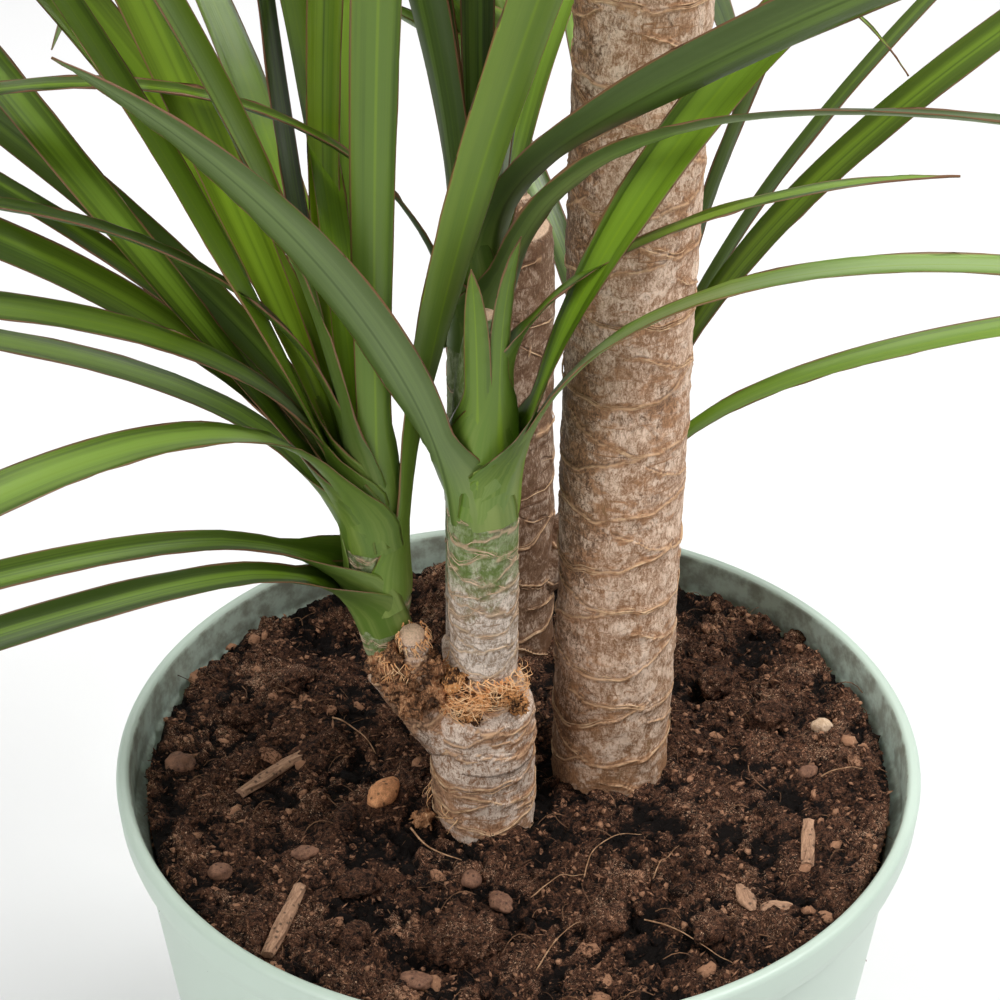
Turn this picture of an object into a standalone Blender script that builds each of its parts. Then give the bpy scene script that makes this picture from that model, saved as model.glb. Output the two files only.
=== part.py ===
"""Potted dracaena: three sawn canes of different height in a round plastic pot filled with potting soil.

The frame's origin is the middle of the pot's underside, with +Z up, +X to the viewer's right and +Y away
from the viewer. Lengths are in metres, except in the leaf lists, which are in millimetres and degrees.
"""
import math
import random

import bmesh
import bpy
from mathutils import Vector, noise
from mathutils.bvhtree import BVHTree

MM = 0.001
GAP = 0.3 * MM
BED_GAP = 0.5 * MM

# Pot
POT_HEIGHT = 0.190
RIM_RADIUS = 0.110
LIP_HEIGHT = 0.012
LIP_FOOT_RADIUS = 0.1085
WALL_TOP_RADIUS = 0.1055
BASE_RADIUS = 0.086
BASE_BEVEL = 0.0025
POT_WALL = 0.003
POT_FLOOR = 0.005
RIM_INNER_RADIUS = 0.1062
LIP_ROUND = 0.0010
LIP_STEP = 0.0004
LIP_INSIDE_DROP = 0.004
POT_SIDES = 36

# Soil
SOIL_TOP = 0.178
SOIL_RINGS = 5
SOIL_LUMP = 0.0028
SOIL_LUMP_SIZE = 0.021
CRUMB_HEIGHT = 0.0014
CRUMB_SIZE = 0.00945
SOIL_SLICE = 0.3
CRUMB_SLICE = 4.7
SOIL_FLAT_EDGE = 0.100
SOIL_EDGE_BLEND = 0.012

# Canes: the foot is where the axis meets the soil, and the roots reach below it
CANE_ROOT_DEPTH = 0.070
CANE_SIDES = 12
SCAR_STEP = 0.052
SCAR_RIDGE = 0.0007
SCAR_RIDGE_HALF = 0.0022
SCAR_TILT = 0.0035
SCAR_DIP = 0.0002
SCAR_SPREAD = (0.85, 1.15)
SCAR_GIRTH = (0.97, 1.0)
FIRST_SCAR = 0.012
FOOT_SHARE = 0.97
TOP_SHARE = 0.98
SAWN_BEVEL = 0.0015
TALL_FOOT = Vector((0.0258, 0.0067, SOIL_TOP))
TALL_RADIUS = 0.0165
TALL_HEIGHT = 0.540
TALL_LEAN = Vector((0.010, 0.004, 1.0))
MIDDLE_FOOT = Vector((-0.0040, 0.0665, SOIL_TOP))
MIDDLE_RADIUS = 0.0155
MIDDLE_HEIGHT = 0.135
MIDDLE_LEAN = Vector((-0.010, 0.030, 1.0))
SHORT_FOOT = Vector((-0.0093, -0.0140, SOIL_TOP))
SHORT_RADIUS = 0.0142
SHORT_HEIGHT = 0.0375
SHORT_LEAN = Vector((-0.020, 0.0, 1.0))

# Woody stubs: from inside the cane to the seat of a shoot, with the radius at each end. Those of the tall
# cane and the first of the middle cane are measured from the cane's sawn top
TALL_LEFT_STUB = (Vector((-0.004, 0.0, -0.040)), Vector((-0.024, 0.004, -0.004)), 0.0120, 0.0105)
TALL_RIGHT_STUB = (Vector((0.003, 0.0, -0.038)), Vector((0.022, -0.006, -0.001)), 0.0115, 0.0100)
MIDDLE_STUB = (Vector((0.0, 0.0, -0.034)), Vector((0.0, 0.012, 0.003)), 0.0105, 0.0095)
RIGHT_STUB = (Vector((0.0, 0.0665, 0.196)), Vector((0.0235, 0.0740, 0.2160)), 0.0090, 0.0080)
FRONT_STUB = (Vector((-0.0090, -0.0150, 0.200)), Vector((-0.0092, -0.0165, 0.2225)), 0.0135, 0.0105)
BACK_STUB = (Vector((-0.0100, -0.0060, 0.200)), Vector((-0.0125, 0.0045, 0.2225)), 0.0095, 0.0085)
LEFT_STUB = (Vector((-0.0170, -0.0145, 0.205)), Vector((-0.0345, -0.0141, 0.2270)), 0.0100, 0.0070)
CUT_STUB = (Vector((-0.0230, -0.0165, 0.215)), Vector((-0.0275, -0.0215, 0.2350)), 0.0050, 0.0036)
STUB_SIDES = 12

# Shoots: direction, height of the stem, its radius and how far it narrows at its foot
SHOOTS = {
    "shoot_front": ((0.0, 0.0, 1.0), 0.092, 0.0090, 0.98),
    "shoot_back": ((0.02, 0.04, 1.0), 0.116, 0.0076, 0.95),
    "shoot_left": ((-0.05, 0.0, 1.0), 0.056, 0.0078, 0.62),
    "shoot_right": ((0.55, 0.25, 1.0), 0.040, 0.0070, 0.92),
    "shoot_middle": ((0.03, 0.14, 1.0), 0.070, 0.0085, 0.92),
    "shoot_tall_left": ((-0.35, 0.10, 1.0), 0.110, 0.0095, 0.90),
    "shoot_tall_right": ((0.45, -0.12, 1.0), 0.090, 0.0090, 0.90),
}
STEM_SIDES = 12
STEM_SHAPE = ((0.35, 1.0), (0.75, 0.98), (1.0, 0.72))
STEM_TIP = 0.016
STEM_TIP_SHARE = 0.34

# Leaves
BLADE = 0.8 * MM
GUARD = 0.35 * MM
SAG = 26.0
SPINE_STEPS = 60
GOLDEN_ANGLE = 137.5
ROOT_SHARE = 0.78
ROOT_TAPER = 0.72
TAPER_FROM = 0.8
BASE_WIDTH = 0.85
NECK_WIDTH = 0.77
NECK_SHARE = 0.08
WIDEST_SHARE = 0.42
TIP_TAPER = 2.4
TIP_FULLNESS = 0.85
ROLLED_BY = 0.25
SPACING_POWER = 1.55
LOWEST_LEAF = 0.020
TURNS_TO_TRY = (0, 4, -4, 8, -8, 13, -13, 19, -19)
LIFTS_TO_TRY = (0, 4, -4, 9, -9)
PLACED_SEGMENTS = 7
WHORL_SEGMENTS = 5

# Leaves set where the plant has them. Each gives the height of its root up the shoot, its heading, the slope
# at which it rises, the slope that it settles to and the length of that bend, then its length and width,
# how far its heading sways and how far its face rolls about its own length
FRONT_LEAVES = (
    (56, 214, 76, 60, 40, 160, 14.0, -18, 46),
    (58, -16, 84, -6, 80, 340, 12.0, 0, -4),
    (62, -14, 77, 28, 240, 330, 13.5, 0, 50),
    (86, -12, 92, 30, 24, 130, 7.0, 0, 0),
    (66, 262, 90, 88, 90, 62, 7.0, 0, 0),
    (70, 300, 90, 86, 90, 66, 6.0, 0, 0),
)
BACK_LEAVES = (
    (112, -54, 84, 36, 16, 360, 15.0, 6, -36),
    (91, -55, 80, 8, 80, 340, 12.5, 30, -14),
    (92, 200, 84, -30, 120, 290, 8.0, 0, 0),
    (104, 215, 88, 70, 90, 330, 12.5, 0, 30),
    (110, 150, 88, 74, 90, 300, 11.0, 0, 0),
    (96, 30, 86, 62, 120, 280, 12.0, 0, -40),
    (88, 70, 74, 10, 90, 260, 11.0, 0, 0),
    (112, 90, 86, 74, 90, 220, 9.0, 0, 0),
)
LEFT_LEAVES = (
    (16, 213, 70, 1, 24, 300, 11.5, -10, -12),
    (22, 196, 64, -5, 26, 310, 10.5, 4, -14),
    (42, 226, 82, -5, 54, 320, 15.5, 0, 0),
    (26, 0, 88, 74, 60, 330, 14.0, -76, -30),
    (48, 196, 80, 10, 58, 300, 11.0, 0, -12),
    (43, 186, 70, 16, 90, 320, 13.0, 0, -22),
    (46, 176, 70, 30, 60, 300, 8.0, 0, -15),
    (48, 170, 76, 42, 32, 320, 12.0, 0, -30),
    (46, 192, 58, 58, 60, 310, 10.0, -56, -30),
    (52, 162, 80, 46, 80, 340, 14.0, 0, -45),
    (54, 212, 86, 66, 60, 360, 16.0, 0, -35),
    (57, 204, 88, 2, 90, 300, 8.0, 0, 0),
    (50, 290, 88, 82, 90, 340, 12.0, 0, 0),
    (56, 120, 88, 78, 90, 320, 13.0, 0, 30),
    (42, 160, 62, 0, 34, 300, 11.0, 0, 0),
    (30, 110, 70, 20, 70, 290, 11.0, 0, 0),
    (44, 95, 76, 48, 70, 300, 12.0, 0, 0),
    (55, 179, 72, 71, 85, 320, 12.5, -40, -40),
    (51, 134, 66, 95, 83, 320, 12.0, 38, 20),
    (55, 120, 58, 118, 78, 320, 9.0, -20, 0),
    (51, 205, 68, 69, 160, 320, 10.0, 4, -40),
)
RIGHT_LEAVES = (
    (8, -2, 62, 13, 42, 300, 12.0, 0, 0),
    (18, 2, 86, 42, 60, 330, 12.5, 0, 22),
    (24, 22, 86, 46, 50, 320, 10.0, 0, -12),
    (27, 34, 88, 62, 60, 300, 10.0, 0, -20),
    (14, 80, 68, 8, 70, 280, 11.0, 0, 0),
    (22, 100, 80, 30, 70, 300, 11.0, 0, 0),
    (17, 120, 76, 30, 70, 260, 10.0, 0, 0),
    (30, 70, 88, 70, 80, 240, 9.0, 0, 0),
)
MIDDLE_LEAVES = (
    (46, 0, 70, -38, 50, 126, 9.0, 0, 0),
    (60, 150, 84, 44, 80, 300, 12.0, 0, -20),
)

# Leaves that follow a spiral: count, lowest and highest root and seed, then length, width and the headings
# that they keep to, so that the crowns leave room for each other
MIDDLE_WHORL = (16, 30, 68, 3, 300.0, 12.0, (70.0, 225.0))
TALL_LEFT_WHORL = (32, 46, 110, 9, 400.0, 13.0, (75.0, 330.0))
TALL_RIGHT_WHORL = (30, 36, 90, 17, 380.0, 13.0, (-110.0, 110.0))
YOUNG_RISE = 88.0
OLD_RISE_DROP = 46.0
YOUNG_REST = 66.0
OLD_REST_DROP = 104.0
BEND_REACH = 55.0
HEADING_SCATTER = 7.0
RISE_SCATTER = 4.0
REST_SCATTER = 6.0
ROLL_SCATTER = 22.0
LENGTH_SCATTER = (0.92, 1.05)
WIDTH_SCATTER = (0.88, 1.08)

# Pieces of bark, stone and clay lying in the soil: place, length, width, thickness and heading
BARK_PIECES = {
    "bark_stick_left": (-0.0680, 0.0020, 26.0, 4.6, 3.4, 48),
    "bark_stick_front": (-0.0600, -0.0620, 26.0, 4.4, 3.4, 76),
    "bark_nugget": (-0.0368, -0.0115, 13.5, 9.5, 6.5, 64),
    "bark_strip_right": (0.0770, -0.0320, 18.0, 4.2, 2.8, 82),
    "bark_chip_right": (0.0585, -0.0530, 10.5, 5.6, 3.2, 106),
}
STONE_PIECES = {
    "pebble_left": (-0.0570, -0.0330, 7.6, 5.6, 4.4, 10),
    "pebble_front": (-0.0048, -0.0535, 8.6, 7.0, 4.8, 120),
    "clay_bead": (0.0872, 0.0205, 6.4, 6.0, 6.0, 0),
}
STICK_SHAPE = (0.85, 1.0, 1.0, 0.80)
NUGGET_SHAPE = (0.45, 1.0, 0.95, 0.40)
PIECE_SIDES = 6
STICK_RATIO = 2.2
PIECE_LIFT = 0.12
PIECE_ROUGH = (-0.10, 0.04)
# A side between two corners needs this much more to keep the bed clear of the piece everywhere
FLAT_SIDE_SWELL = 1.3
UP = Vector((0.0, 0.0, 1.0))


def clear_scene():
    """Removes the objects that a new file starts with."""
    for old in list(bpy.data.objects):
        bpy.data.objects.remove(old, do_unlink=True)


def material(name, colour, roughness, metallic=0.0):
    """A plain Principled material."""
    made = bpy.data.materials.new(name)
    made.use_nodes = True
    shader = made.node_tree.nodes["Principled BSDF"]
    shader.inputs["Base Color"].default_value = (*colour, 1.0)
    shader.inputs["Roughness"].default_value = roughness
    shader.inputs["Metallic"].default_value = metallic
    return made


def make_object(name, points, faces, finish):
    """An object from points and faces, turned outwards and split into triangles the same way each time."""
    mesh = bpy.data.meshes.new(name)
    mesh.from_pydata([tuple(point) for point in points], [], faces)
    work = bmesh.new()
    work.from_mesh(mesh)
    bmesh.ops.recalc_face_normals(work, faces=work.faces)
    bmesh.ops.triangulate(work, faces=work.faces, quad_method="FIXED")
    work.to_mesh(mesh)
    work.free()
    mesh.materials.append(finish)
    made = bpy.data.objects.new(name, mesh)
    bpy.context.scene.collection.objects.link(made)
    return made


def skin(rings):
    """Points and faces of a closed body over rings of equal count, with both ends capped."""
    count = len(rings[0])
    points = [point for ring in rings for point in ring]
    faces = [tuple(range(count))]
    for level in range(len(rings) - 1):
        low = level * count
        high = low + count
        for side in range(count):
            after = (side + 1) % count
            faces.append((low + side, low + after, high + after, high + side))
    faces.append(tuple(range(len(points) - count, len(points))))
    return points, faces


def across(axis):
    """Two unit directions at right angles to an axis."""
    axis = axis.normalized()
    first = Vector((1.0, 0.0, 0.0)) if abs(axis.x) < 0.9 else Vector((0.0, 1.0, 0.0))
    first = (first - axis * first.dot(axis)).normalized()
    return first, axis.cross(first)


def ring(centre, axis, radius, sides, tilt=0.0, turn=0.0):
    """Points of a circle, with its plane tipped so that one side lies higher."""
    first, second = across(axis)
    points = []
    for side in range(sides):
        angle = 2.0 * math.pi * side / sides
        lift = tilt * math.cos(angle - turn)
        points.append(centre + (first * math.cos(angle) + second * math.sin(angle)) * radius
                      + axis.normalized() * lift)
    return points


def rod(name, start, end, start_radius, end_radius, sides, finish):
    """A straight rod or cone with flat ends."""
    axis = end - start
    rings = [ring(start, axis, start_radius, sides), ring(end, axis, end_radius, sides)]
    return make_object(name, *skin(rings), finish)


def combine(target, others, operation="UNION"):
    """Joins others to the target, or cuts them from it, in one applied Boolean on a collection."""
    group = bpy.data.collections.new(target.name + "_parts")
    bpy.context.scene.collection.children.link(group)
    for other in others:
        bpy.context.scene.collection.objects.unlink(other)
        group.objects.link(other)
    step = target.modifiers.new("join", "BOOLEAN")
    step.operation = operation
    step.solver = "EXACT"
    step.operand_type = "COLLECTION"
    step.collection = group
    finished = bpy.data.meshes.new_from_object(target.evaluated_get(bpy.context.evaluated_depsgraph_get()))
    target.modifiers.clear()
    target.data = finished
    for other in others:
        bpy.data.objects.remove(other, do_unlink=True)
    bpy.data.collections.remove(group)


def drop_scraps(target):
    """Keeps only the largest connected piece of a joined body."""
    work = bmesh.new()
    work.from_mesh(target.data)
    unseen = set(work.verts)
    pieces = []
    while unseen:
        front = [unseen.pop()]
        piece = set(front)
        while front:
            vert = front.pop()
            for edge in vert.link_edges:
                other = edge.other_vert(vert)
                if other in unseen:
                    unseen.remove(other)
                    piece.add(other)
                    front.append(other)
        pieces.append(piece)
    pieces.sort(key=len)
    bmesh.ops.delete(work, geom=[vert for piece in pieces[:-1] for vert in piece], context="VERTS")
    work.to_mesh(target.data)
    work.free()


def pot_profile():
    """Radius and height down the outside of the pot and up its inside."""
    lip_foot = POT_HEIGHT - LIP_HEIGHT
    outside = [
        (RIM_INNER_RADIUS + LIP_ROUND, POT_HEIGHT),
        (RIM_RADIUS - LIP_ROUND, POT_HEIGHT),
        (RIM_RADIUS, POT_HEIGHT - LIP_ROUND),
        (RIM_RADIUS - LIP_STEP, lip_foot + LIP_HEIGHT / 3.0),
        (LIP_FOOT_RADIUS, lip_foot),
        (WALL_TOP_RADIUS, lip_foot - LIP_STEP),
        (BASE_RADIUS + BASE_BEVEL * 0.4, BASE_BEVEL),
        (BASE_RADIUS - BASE_BEVEL, 0.0),
    ]
    inside = [
        (BASE_RADIUS - POT_WALL, POT_FLOOR),
        (WALL_TOP_RADIUS - POT_WALL, lip_foot - LIP_INSIDE_DROP),
        (RIM_INNER_RADIUS - LIP_STEP, lip_foot),
        (RIM_INNER_RADIUS, POT_HEIGHT - LIP_ROUND),
    ]
    return outside, inside


def make_pot(finish):
    """The turned pot, with a rolled lip and a flat underside."""
    outside, inside = pot_profile()
    outer = [ring(UP * height, UP, radius, POT_SIDES) for radius, height in outside]
    inner = [ring(UP * height, UP, radius, POT_SIDES) for radius, height in inside]
    points, faces = skin(outer)
    faces = faces[1:]
    start = len(points)
    inner_points, inner_faces = skin(inner)
    points += inner_points
    for face in inner_faces[:-1]:
        faces.append(tuple(start + index for index in face))
    last = start + (len(inner) - 1) * POT_SIDES
    for side in range(POT_SIDES):
        after = (side + 1) % POT_SIDES
        faces.append((last + side, last + after, after, side))
    return make_object("pot", points, faces, finish)


def soil_height(x, y):
    """Height of the crumbly soil surface, which lies flat along the pot's wall."""
    lumps = noise.noise(Vector((x, y, SOIL_SLICE)) / SOIL_LUMP_SIZE) * SOIL_LUMP
    lumps += noise.noise(Vector((x, y, CRUMB_SLICE)) / CRUMB_SIZE) * CRUMB_HEIGHT
    edge = min(1.0, max(0.0, (SOIL_FLAT_EDGE - math.hypot(x, y)) / SOIL_EDGE_BLEND))
    return SOIL_TOP + lumps * edge


def pot_inner_radius(height):
    """Inner radius of the pot's wall at a height."""
    top = POT_HEIGHT - LIP_HEIGHT - LIP_INSIDE_DROP
    share = (height - POT_FLOOR) / (top - POT_FLOOR)
    return BASE_RADIUS - POT_WALL + share * (WALL_TOP_RADIUS - BASE_RADIUS)


def make_soil(canes, pieces, finish):
    """The soil that fills the pot, with a plain hole for each cane and a bed for each loose piece."""
    wall_top = POT_HEIGHT - LIP_HEIGHT - LIP_INSIDE_DROP
    top_edge = pot_inner_radius(wall_top) - GAP
    floor = POT_FLOOR + GAP
    rings = [ring(UP * floor, UP, pot_inner_radius(floor) - GAP, POT_SIDES)]
    rings.append(ring(UP * (wall_top - GAP), UP, top_edge, POT_SIDES))
    for level in range(SOIL_RINGS):
        radius = (top_edge - LIP_ROUND) * (1.0 - level / SOIL_RINGS)
        flat = ring(UP * SOIL_TOP, UP, radius, POT_SIDES)
        rings.append([Vector((point.x, point.y, soil_height(point.x, point.y))) for point in flat])
    points, faces = skin(rings)
    rim = faces.pop()
    points.append(Vector((0.0, 0.0, soil_height(0.0, 0.0))))
    for index, corner in enumerate(rim):
        faces.append((corner, rim[(index + 1) % len(rim)], len(points) - 1))
    soil = make_object("soil", points, faces, finish)
    holes = []
    for foot, radius, lean in canes:
        low = foot - lean.normalized() * (CANE_ROOT_DEPTH + GAP)
        high = foot + lean.normalized() * radius
        holes.append(rod("hole", low, high, radius + GAP, radius + GAP, CANE_SIDES, finish))
    for name, size in pieces.items():
        holes.append(loose_piece(name + "_bed", size, BED_GAP, finish))
    combine(soil, holes, "DIFFERENCE")
    drop_scraps(soil)
    return soil


def loose_piece(name, size, swell, finish):
    """A rough piece half sunk in the soil; swell makes it larger all round, for its bed."""
    x, y, length, width, thickness, heading = size
    shape_rng = random.Random(len(name.removesuffix("_bed")) * 31 + round(length * 10))
    angle = math.radians(heading)
    along = Vector((math.cos(angle), math.sin(angle), 0.0))
    beside = Vector((-math.sin(angle), math.cos(angle), 0.0))
    centre = Vector((x, y, soil_height(x, y) + thickness * MM * PIECE_LIFT))
    shape = STICK_SHAPE if length > STICK_RATIO * width else NUGGET_SHAPE
    side_swell = swell * FLAT_SIDE_SWELL
    rings = []
    for level, size_here in enumerate(shape):
        offset = along * ((level / (len(shape) - 1) - 0.5) * (length * MM + 2.0 * swell))
        points = []
        for side in range(PIECE_SIDES):
            turn = 2.0 * math.pi * (side + 0.5 * (level % 2)) / PIECE_SIDES
            rough = 1.0 + shape_rng.uniform(*PIECE_ROUGH)
            out = beside * math.cos(turn) * (width * MM / 2.0 * size_here * rough + side_swell)
            rise = UP * math.sin(turn) * (thickness * MM / 2.0 * size_here * rough + side_swell)
            points.append(centre + offset + out + rise)
        rings.append(points)
    return make_object(name, *skin(rings), finish)


def cane_rings(foot, lean, radius, height, seed):
    """Rings of a sawn cane from its buried foot to its top, with a low ridge at each leaf scar."""
    shape_rng = random.Random(seed)
    axis = lean.normalized()
    rings = [ring(foot - axis * CANE_ROOT_DEPTH, axis, radius * FOOT_SHARE, CANE_SIDES)]
    rings.append(ring(foot, axis, radius, CANE_SIDES))
    level = FIRST_SCAR
    while level < height - SCAR_STEP * 0.5:
        turn = shape_rng.uniform(0.0, 2.0 * math.pi)
        here = radius * shape_rng.uniform(*SCAR_GIRTH)
        for rise, swell in ((-SCAR_RIDGE_HALF, -SCAR_DIP), (0.0, SCAR_RIDGE), (SCAR_RIDGE_HALF, -SCAR_DIP)):
            rings.append(ring(foot + axis * (level + rise), axis, here + swell, CANE_SIDES, SCAR_TILT, turn))
        level += SCAR_STEP * shape_rng.uniform(*SCAR_SPREAD)
    rings.append(ring(foot + axis * (height - SAWN_BEVEL), axis, radius * TOP_SHARE, CANE_SIDES))
    rings.append(ring(foot + axis * height, axis, radius * TOP_SHARE - SAWN_BEVEL, CANE_SIDES))
    return rings


def make_cane(name, foot, lean, radius, height, seed, stubs, finish):
    """A cane with the woody stubs that its shoots stand on, joined to it."""
    cane = make_object(name, *skin(cane_rings(foot, lean, radius, height, seed)), finish)
    joined = []
    for start, end, start_radius, end_radius in stubs:
        joined.append(rod("stub", start, end, start_radius, end_radius, STUB_SIDES, finish))
    combine(cane, joined)
    return cane


def moved_stub(stub, top):
    """A stub measured from a cane's top, moved to its place."""
    start, end, start_radius, end_radius = stub
    return start + top, end + top, start_radius, end_radius


def spine(root, leaf):
    """Points and directions down the middle of a leaf that arches out and sags toward its tip."""
    _, heading, rise, rest, reach, length, _, sway, roll = leaf
    length *= MM
    reach *= MM
    roll = math.radians(roll)
    point = root.copy()
    points = [point.copy()]
    directions = []
    for step in range(SPINE_STEPS + 1):
        share = step / SPINE_STEPS
        slope = rest + (rise - rest) * math.exp(-share * length / reach) - SAG * share * share
        slope = math.radians(slope)
        turn = math.radians(heading + sway * share)
        level = math.cos(slope)
        direction = Vector((level * math.cos(turn), level * math.sin(turn), math.sin(slope)))
        side = Vector((-math.sin(turn), math.cos(turn), 0.0))
        rolled = roll * min(1.0, share / ROLLED_BY)
        side = side * math.cos(rolled) + direction.cross(side) * math.sin(rolled)
        directions.append((direction, side))
        if step < SPINE_STEPS:
            point += direction * (length / SPINE_STEPS)
            points.append(point.copy())
    return points, directions


def blade_width(share):
    """Width of a leaf along its length, as a share of its greatest width."""
    if share < NECK_SHARE:
        return BASE_WIDTH + (NECK_WIDTH - BASE_WIDTH) * share / NECK_SHARE
    if share < WIDEST_SHARE:
        part = (share - NECK_SHARE) / (WIDEST_SHARE - NECK_SHARE)
        return NECK_WIDTH + (1.0 - NECK_WIDTH) * math.sin(math.pi / 2.0 * part)
    return (1.0 - ((share - WIDEST_SHARE) / (1.0 - WIDEST_SHARE)) ** TIP_TAPER) ** TIP_FULLNESS


def blade_rings(root, leaf, segments, swell=0.0):
    """Flat four-cornered sections down a leaf, closer together where it bends, and its tip."""
    points, directions = spine(root, leaf)
    half = leaf[6] * MM / 2.0
    rings = []
    for segment in range(segments):
        share = (segment / segments) ** SPACING_POWER
        index = round(share * SPINE_STEPS)
        direction, side = directions[index]
        edge = side * (half * blade_width(share) + swell)
        top = direction.cross(side) * (BLADE / 2.0 + swell)
        middle = points[index]
        rings.append([middle + edge + top, middle - edge + top, middle - edge - top, middle + edge - top])
    return rings, points[-1]


def blade_body(root, leaf, segments, swell=0.0):
    """Points and triangles of one leaf, split alike on its two faces."""
    rings, tip = blade_rings(root, leaf, segments, swell)
    points = [point for section in rings for point in section]
    points.append(tip)
    faces = [(0, 1, 2), (0, 2, 3)]
    for level in range(segments - 1):
        low = level * 4
        high = low + 4
        for first, second, rising in ((0, 1, True), (1, 2, True), (2, 3, False), (3, 0, True)):
            if rising:
                faces.append((low + first, low + second, high + second))
                faces.append((low + first, high + second, high + first))
            else:
                faces.append((low + first, low + second, high + first))
                faces.append((low + second, high + second, high + first))
    low = (segments - 1) * 4
    for first in range(4):
        faces.append((low + first, low + (first + 1) % 4, len(points) - 1))
    return points, faces


def tree_of(points, faces):
    """A search tree for finding where two bodies cross."""
    return BVHTree.FromPolygons([tuple(point) for point in points], faces)


def tree_of_object(made):
    """A search tree of a finished object."""
    mesh = made.data
    return tree_of([vert.co for vert in mesh.vertices], [tuple(face.vertices) for face in mesh.polygons])


def nudges():
    """Small turns and lifts to try on a leaf that crosses something, smallest first."""
    tries = [(turn, lift) for turn in TURNS_TO_TRY for lift in LIFTS_TO_TRY]
    tries.sort(key=lambda pair: abs(pair[0]) + 1.5 * abs(pair[1]))
    return tries


def root_of(shoot, leaf):
    """Where a leaf leaves its shoot: just under the skin of the stem, on the side that it heads for."""
    heading = math.radians(leaf[1])
    out = Vector((math.cos(heading), math.sin(heading), 0.0))
    up = leaf[0] * MM
    taper = 1.0 if up < shoot["height"] * TAPER_FROM else ROOT_TAPER
    return shoot["foot"] + shoot["axis"] * up + out * (shoot["radius"] * ROOT_SHARE * taper)


def clear_leaf(shoot, leaf, segments, blocked):
    """The leaf, nudged until it crosses no other node, or nothing if it never does."""
    for turn, lift in nudges():
        moved = list(leaf)
        moved[1] += turn
        moved[2] += lift * 0.5
        moved[3] += lift
        root = root_of(shoot, moved)
        points, faces = blade_body(root, moved, segments, GUARD)
        if min(point.z for point in points) < LOWEST_LEAF:
            continue
        body = tree_of(points, faces)
        if not any(body.overlap(tree) for tree in blocked):
            return root, moved
    return None


def whorl(count, low, high, seed, length, width, headings):
    """Leaves spiralling up a shoot by the golden angle: old ones hang, young ones stand."""
    leaf_rng = random.Random(seed)
    leaves = []
    first, last = headings
    for index in range(count):
        age = 1.0 - index / max(1, count - 1)
        turn = (index * GOLDEN_ANGLE) % 360.0
        heading = first + (last - first) * turn / 360.0 + leaf_rng.uniform(-HEADING_SCATTER, HEADING_SCATTER)
        rise = YOUNG_RISE - OLD_RISE_DROP * age ** 1.3 + leaf_rng.uniform(-RISE_SCATTER, RISE_SCATTER)
        rest = YOUNG_REST - OLD_REST_DROP * age + leaf_rng.uniform(-REST_SCATTER, REST_SCATTER)
        reach = BEND_REACH * (1.0 + leaf_rng.random())
        size = length * (0.62 + 0.55 * math.sin(math.pi * (0.22 + 0.60 * age)))
        size *= leaf_rng.uniform(*LENGTH_SCATTER)
        height = low + (high - low) * (1.0 - age)
        broad = width * leaf_rng.uniform(*WIDTH_SCATTER)
        roll = leaf_rng.uniform(-ROLL_SCATTER, ROLL_SCATTER)
        leaves.append((height, heading, rise, rest, reach, size, broad, 0.0, roll))
    return leaves


def make_shoot(name, shoot, placed, spiral, blocked, finish):
    """A green shoot with its leaves joined to it, each clear of every node made before."""
    foot = shoot["foot"]
    axis = shoot["axis"]
    height = shoot["height"]
    radius = shoot["radius"]
    rings = [ring(foot, shoot["seat"], radius * shoot["waist"], STEM_SIDES)]
    for share, swell in STEM_SHAPE:
        rings.append(ring(foot + axis * height * share, axis, radius * swell, STEM_SIDES))
    rings.append(ring(foot + axis * (height + STEM_TIP), axis, radius * STEM_TIP_SHARE, STEM_SIDES))
    stem = make_object(name, *skin(rings), finish)
    blades = []
    for leaves, segments in ((placed, PLACED_SEGMENTS), (spiral, WHORL_SEGMENTS)):
        for leaf in leaves:
            found = clear_leaf(shoot, leaf, segments, blocked)
            if found:
                blades.append(make_object(name + "_leaf", *blade_body(*found, segments), finish))
    combine(stem, blades)
    drop_scraps(stem)
    return stem


def shoot_on(name, stub):
    """A shoot's measures, with its foot a gap above the end of the stub that carries it."""
    direction, height, radius, waist = SHOOTS[name]
    seat = (stub[1] - stub[0]).normalized()
    return {
        "foot": stub[1] + seat * GAP,
        "seat": seat,
        "axis": Vector(direction).normalized(),
        "height": height,
        "radius": radius,
        "waist": waist,
    }


def make_shoots(stubs, blocked, finish):
    """Every shoot, in the order in which later ones give way to earlier ones."""
    placed = {
        "shoot_front": FRONT_LEAVES,
        "shoot_back": BACK_LEAVES,
        "shoot_left": LEFT_LEAVES,
        "shoot_right": RIGHT_LEAVES,
        "shoot_middle": MIDDLE_LEAVES,
    }
    spirals = {
        "shoot_middle": MIDDLE_WHORL,
        "shoot_tall_left": TALL_LEFT_WHORL,
        "shoot_tall_right": TALL_RIGHT_WHORL,
    }
    for name, stub in stubs.items():
        spiral = whorl(*spirals[name]) if name in spirals else []
        made = make_shoot(name, shoot_on(name, stub), placed.get(name, ()), spiral, blocked, finish)
        blocked.append(tree_of_object(made))


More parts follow.
